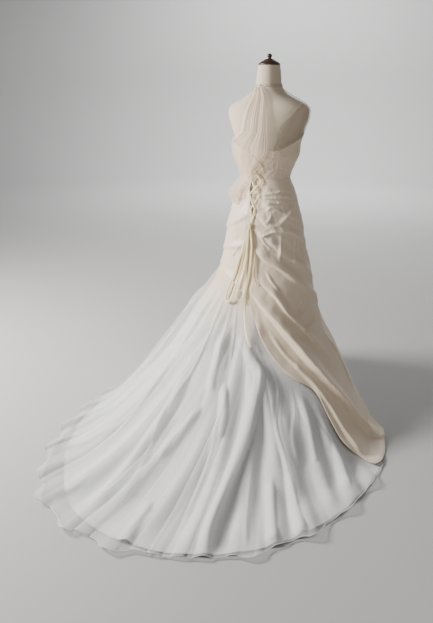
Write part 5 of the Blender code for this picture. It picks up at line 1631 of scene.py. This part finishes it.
class Tail(NamedTuple):
    """A hanging ribbon: its route, how it is carried, its twist and its real length."""

    name: str
    route: tuple[Hang, ...]
    way: Stretch
    twist: float
    length: float


TAILS = (
    Tail("bow_loop_left", BOW_LOOP_LEFT, Stretch.LOOP, 0.25, 0.72),
    Tail("bow_loop_middle", BOW_LOOP_MIDDLE, Stretch.LOOP, -0.22, 0.68),
    Tail("ribbon_tail_long", RIBBON_TAIL_LONG, Stretch.TAIL, 0.45, 0.56),
    Tail("ribbon_tail_short", RIBBON_TAIL_SHORT, Stretch.TAIL, -0.35, 0.26),
)


@dataclass(frozen=True)
class Palette:
    """Every finish of the dress and its stand."""

    satin: SatinFinish = SatinFinish("bodice_satin", (0.84, 0.70, 0.55), (0.76, 0.61, 0.455))
    skirt: SatinFinish = SatinFinish("skirt_satin", (0.85, 0.72, 0.575), (0.77, 0.63, 0.48), 0.42)
    # darker satin of the neck band; on the bodice's binding its dark tone is also painted shade along the top edge
    band: SatinFinish = SatinFinish("band_satin", (0.54, 0.45, 0.35), (0.47, 0.39, 0.30), 0.5)
    white: LiningFinish = LiningFinish()
    ribbon: SatinFinish = SatinFinish("lacing_ribbon", (0.84, 0.72, 0.44), (0.76, 0.63, 0.35), 0.42, 0.2)
    overlay: TulleFinish = TulleFinish("train_tulle", (0.84, 0.855, 0.86), (0.78, 0.79, 0.795), 0.33, 0.95,
                                       (0.86, 0.74, 0.60))
    yoke: TulleFinish = TulleFinish("yoke_tulle", (0.60, 0.52, 0.42), (0.54, 0.46, 0.37), 0.38, 0.85)
    drape: TulleFinish = TulleFinish("drape_tulle", (0.88, 0.70, 0.56), (0.82, 0.63, 0.49), 0.45, 0.95)
    hem: TulleFinish = TulleFinish("rolled_hem", (0.82, 0.82, 0.81), (0.78, 0.78, 0.77), 0.92, 0.95)
    edge: TulleFinish = TulleFinish("sheer_edge", (0.60, 0.52, 0.44), (0.55, 0.47, 0.39), 0.92, 0.95)
    jersey: JerseyFinish = JerseyFinish()
    wood: WoodFinish = WoodFinish()
    hook: MetalFinish = MetalFinish("hook_metal", (0.05, 0.048, 0.045), (0.09, 0.085, 0.08), 1.0)
    stand: MetalFinish = MetalFinish("stand_metal", (0.06, 0.058, 0.055), (0.10, 0.095, 0.09), 0.6)


class Dresser:
    """Puts the finished pieces on the frame."""

    def put(self, item: Item, slot: str, *nodes: str) -> Item:
        """Fix a piece to the body and hide the CAD nodes it stands for."""
        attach(item, BODY)
        if nodes:
            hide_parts(*nodes)
        LOG.info("%s %.3f m2", item.name, sum(face.area for face in item.data.polygons))
        return item

    def cloth(self, item: Item, slot: str, node: str, with_pieces: Sequence[Item] = ()) -> None:
        """Put a sheet of cloth on the frame."""
        self.put(item, slot, node)

    def ribbon(self, item: Item, tail: Tail, line: Grid, width: float, with_pieces: Sequence[Item] = ()) -> None:
        """Put a free ribbon on the frame and state its length."""
        self.put(item, "ribbon", tail.name)
        travelled = float(np.linalg.norm(np.diff(line, axis=0), axis=-1).sum())
        LOG.info("%s: follows a line of %.3f m", tail.name, travelled)


@dataclass(frozen=True)
class Gown:
    """The whole dress, made piece by piece."""

    palette: Palette = Palette()
    bodice: Bodice = Bodice()
    skirt: Skirt = Skirt()
    lacing: Lacing = Lacing()
    sheer: SheerTop = SheerTop()
    hem_radius: float = 0.0014
    edge_radius: float = 0.0008
    binding_radius: float = 0.0015
    hook_radius: float = 0.0006
    half_seam: float = 0.15
    stitch_drop: float = 0.006
    stitch_scale: Triple = (1.004, 1.004, 1.0)
    hook_bearing: float = 12.0
    hook_height: float = 1.4465
    hook_lift: float = 0.0035
    hook_ring: float = 0.0014

    def make_bodice(self, dresser: Dresser, cords: PathTree, stitches: PathTree) -> None:
        """Bodice pieces with their bound and stitched top edge; the binding's dark satin also paints the shade of the
        gap along that edge.
        """
        satin = self.palette.satin.build()
        body, gap, side = self.bodice, self.half_seam, self.bodice.side_seam
        pieces = (
            ("bodice_back_left", lambda s: opening_edge(s, "left"), lambda s: side - gap + 0.0 * s, body.back),
            ("bodice_front", lambda s: side + gap + 0.0 * s, lambda s: 360.0 - side - gap + 0.0 * s, body.front),
            ("bodice_back_right", lambda s: -side + gap + 0.0 * s, lambda s: opening_edge(s, "right"), body.back),
        )
        tops = []
        for node, start, end, weave in pieces:
            item, top = body.make(node + "_satin", start, end, weave, satin)
            dresser.cloth(item, "satin", node)
            tops.append(top)
        dresser.cloth(body.make_panel(satin), "satin", "modesty_panel")
        # a real binding whose darker satin is also painted shade: it stands in for the shadowed gap along the bodice's
        # top edge
        binding_and_shade = cords.run("bodice_binding_and_shade", tops, {"Radius": self.binding_radius}, self.palette.band.build())
        dresser.put(binding_and_shade, "satin")
        lines = [(top - (0.0, 0.0, self.stitch_drop)) * self.stitch_scale for top in tops]
        dresser.put(stitches.run("bodice_stitches", lines, {}, satin), "satin")

    def make_skirt(self, dresser: Dresser, cords: PathTree) -> None:
        """Satin hips and overskirt, plain front, underskirt with the train and its sheer overlay."""
        satin, white, skirt = self.palette.skirt.build(), self.palette.white.build(), self.skirt
        for node, side, weave in (("hip_left", "left", skirt.hip), ("overskirt_right", "right", skirt.overskirt)):
            dresser.cloth(skirt.make_satin(node + "_satin", side, weave, satin), "satin", node)
        dresser.cloth(skirt.make_front(satin), "satin", "skirt_front")
        dresser.cloth(skirt.make_train(white), "underskirt", "underskirt")
        overlay, line = skirt.make_overlay(self.palette.overlay.build())
        hem = cords.run("overlay_rolled_hem", [line], {"Radius": self.hem_radius}, self.palette.hem.build())
        dresser.cloth(overlay, "tulle", "tulle_overlay", [dresser.put(hem, "tulle")])

    def make_sheer(self, dresser: Dresser, cords: PathTree) -> None:
        """Neck band with its hook, yoke and draped panel."""
        palette, sheer = self.palette, self.sheer
        edge = palette.edge.build()
        dresser.cloth(sheer.make_band(palette.band.build()), "ribbon", "neck_band")
        yoke, drape = sheer.make_yoke(self.bodice, palette.yoke.build()), sheer.make_drape(palette.drape.build())
        for kind, (cloth, lines) in (("yoke", yoke), ("drape", drape)):
            rolled = cords.run(kind + "_rolled_edge", lines, {"Radius": self.edge_radius}, edge)
            dresser.cloth(cloth, "tulle", "tulle_" + kind, [dresser.put(rolled, "tulle")])
        hook = cords.run("neck_hook_wire", self.hook_lines(), {"Radius": self.hook_radius}, palette.hook.build())
        dresser.put(hook, "metal", "neck_hook")

    def hook_lines(self) -> list[Grid]:
        """Bent wire of the hook behind the neck: two sewn rings and the bill between them."""
        turn, bill = np.linspace(0.0, FULL_TURN, 17), np.linspace(0.0, 1.0, 16)
        rings = [(2.6 + 1.5 * np.cos(turn), rise + self.hook_ring * np.sin(turn), 0.0 * turn)
                 for rise in (-0.0016, 0.0016)]
        bent = (blend(2.0, -4.2, np.sin(bill * math.pi) ** 0.8), 0.0024 * bill - 0.0012, 0.0008 * np.sin(bill * math.pi))
        return [GOWN.form_lifted(self.hook_bearing + across, self.hook_height + rise, self.hook_lift + out)
                for across, rise, out in (*rings, bent)]

    def make_lacing(self, dresser: Dresser, cords: PathTree) -> None:
        """Loop cords, laced ribbon, knot, bow loops and tails."""
        ribbon, lacing = self.palette.ribbon.build(), self.lacing
        for side in SIDES:
            loops = cords.run(f"loop_cord_{side}", [lacing.loop_line(side)], {"Radius": lacing.cord / 2}, ribbon)
            dresser.put(loops, "ribbon", f"loop_tape_{side}")
        for order, name in enumerate(("lacing_under", "lacing_over")):
            dresser.put(lacing.make_run(name + "_ribbon", order, ribbon), "ribbon", name)
        knot = dresser.put(lacing.make_knot(ribbon), "ribbon", "bow_knot")
        for tail in TAILS:
            item, line = lacing.make_hanging(tail, ribbon)
            dresser.ribbon(item, tail, line, lacing.ribbon.width, [knot] if tail is TAILS[0] else ())


def make_form(dresser: Dresser, palette: Palette) -> None:
    """Dress form with its wooden cap and finial; the pole and foot keep their CAD shape."""
    form = DressForm()
    dresser.put(form.make_body(palette.jersey.build()), "form_cloth", "form_body")
    wood, high = palette.wood.build(), FORM[-1].height
    dresser.put(form.make_turned("neck_cap_wood", NECK_CAP, high + form.gap, wood), "wood", "neck_cap")
    base = high + form.gap + NECK_CAP[-1].height + form.gap
    dresser.put(form.make_turned("finial_wood", FINIAL, base, wood), "wood", "finial")
    metal = palette.stand.build()
    for node in ("stand_pole", "stand_base"):
        frame["nodes"][node].data.materials.clear()
        frame["nodes"][node].data.materials.append(metal)


class Lamp(NamedTuple):
    """A square soft light: its place, size, power, colour and what it looks at."""

    name: str
    place: Triple
    size: float
    power: float
    colour: Triple
    aim: Triple = (-0.05, 0.35, 0.75)


LAMPS = (
    Lamp("window_key", (2.85, 1.60, 2.10), 1.1, 325.0, (1.0, 0.97, 0.92)),
    Lamp("room_fill", (-2.4, 1.9, 2.7), 2.4, 17.0, (1.0, 0.95, 0.90)),
    Lamp("front_fill", (0.2, -2.8, 2.2), 2.4, 13.0, (1.0, 0.98, 0.95)),
    Lamp("floor_wash", (2.2, -5.6, 3.9), 3.0, 420.0, (1.0, 1.0, 1.0), (2.4, -6.6, 0.0)),
)


@dataclass(frozen=True)
class Studio:
    """Camera where the photo was taken from, soft light from the photo's left, pale floor."""

    eye: Triple = (-1.167, 2.676, 1.45)
    ahead: Triple = (0.4423, -0.8284, -0.3437)
    lens: float = 35.83
    sensor: float = 36.0
    air: tuple[float, float, float, float] = (0.97, 0.98, 1.0, 1.0)
    air_strength: float = 0.15
    floor_radius: float = 9.0
    inner_radii: Triple = (0.02, 2.0, 5.0)
    wall_height: float = 4.5
    bend: float = 1.6
    floor_drop: float = 0.001

    def make_camera(self) -> None:
        """Camera of the photo."""
        data = bpy.data.cameras.new("photo_camera")
        data.sensor_fit = "VERTICAL"
        data.sensor_width = data.sensor_height = self.sensor
        data.lens = self.lens
        data.clip_start = 0.05
        camera = bpy.data.objects.new("photo_camera", data)
        bpy.context.collection.objects.link(camera)
        back = -Vector(self.ahead).normalized()
        right = Vector((0.0, 0.0, 1.0)).cross(back).normalized()
        turned = Matrix((right, back.cross(right), back)).transposed().to_4x4()
        camera.matrix_world = Matrix.Translation(self.eye) @ turned
        bpy.context.scene.camera = camera

    def make_lights(self) -> None:
        """Soft lights and even pale surroundings."""
        for lamp in LAMPS:
            data = bpy.data.lights.new(lamp.name, "AREA")
            data.size, data.energy, data.color = lamp.size, lamp.power, lamp.colour
            light = bpy.data.objects.new(lamp.name, data)
            light.location = lamp.place
            light.rotation_euler = (Vector(lamp.aim) - Vector(lamp.place)).to_track_quat("-Z", "Y").to_euler()
            bpy.context.collection.objects.link(light)
        world = bpy.data.worlds.new("studio_air")
        world.use_nodes = True
        back = world.node_tree.nodes["Background"]
        back.inputs["Color"].default_value = self.air
        back.inputs["Strength"].default_value = self.air_strength
        bpy.context.scene.world = world

    def make_floor(self) -> None:
        """Round floor that bends up into a low wall."""
        turn, arc = round_angles(96), np.linspace(0.0, math.pi / 2, 10)
        bent = self.floor_radius - self.bend + self.bend * np.sin(arc)
        radius = np.concatenate([self.inner_radii, bent, [self.floor_radius]])[:, None]
        height = np.concatenate([[0.0] * 3, self.bend * (1.0 - np.cos(arc)), [self.wall_height]])[:, None]
        points = np.stack([radius * np.cos(turn), radius * np.sin(turn),
                           (height - self.floor_drop) * np.ones_like(turn)], -1)
        shape, columns = points.shape[:2], len(turn)
        index = np.pad(np.arange(len(radius) * columns).reshape(shape), ((0, 0), (0, 1)), "wrap")
        quads = np.stack([index[:-1, :-1], index[1:, :-1], index[1:, 1:], index[:-1, 1:]], -1).reshape(-1, 4)
        mesh = bpy.data.meshes.new("studio_floor")
        mesh.from_pydata(points.reshape(-1, 3).tolist(), [], quads.tolist() + [list(range(columns))])
        link("studio_floor", mesh, FloorFinish().build())


def main() -> None:
    """Build the looks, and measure."""
    logging.basicConfig(level=logging.INFO, format="%(message)s")
    dresser, gown = Dresser(), Gown()
    cords, stitches = cord_tree(), stitch_tree()
    make_form(dresser, gown.palette)
    gown.make_bodice(dresser, cords, stitches)
    gown.make_skirt(dresser, cords)
    gown.make_sheer(dresser, cords)
    gown.make_lacing(dresser, cords)
    studio = Studio()
    studio.make_camera()
    studio.make_lights()
    studio.make_floor()


if __name__ == "__main__":
    main()
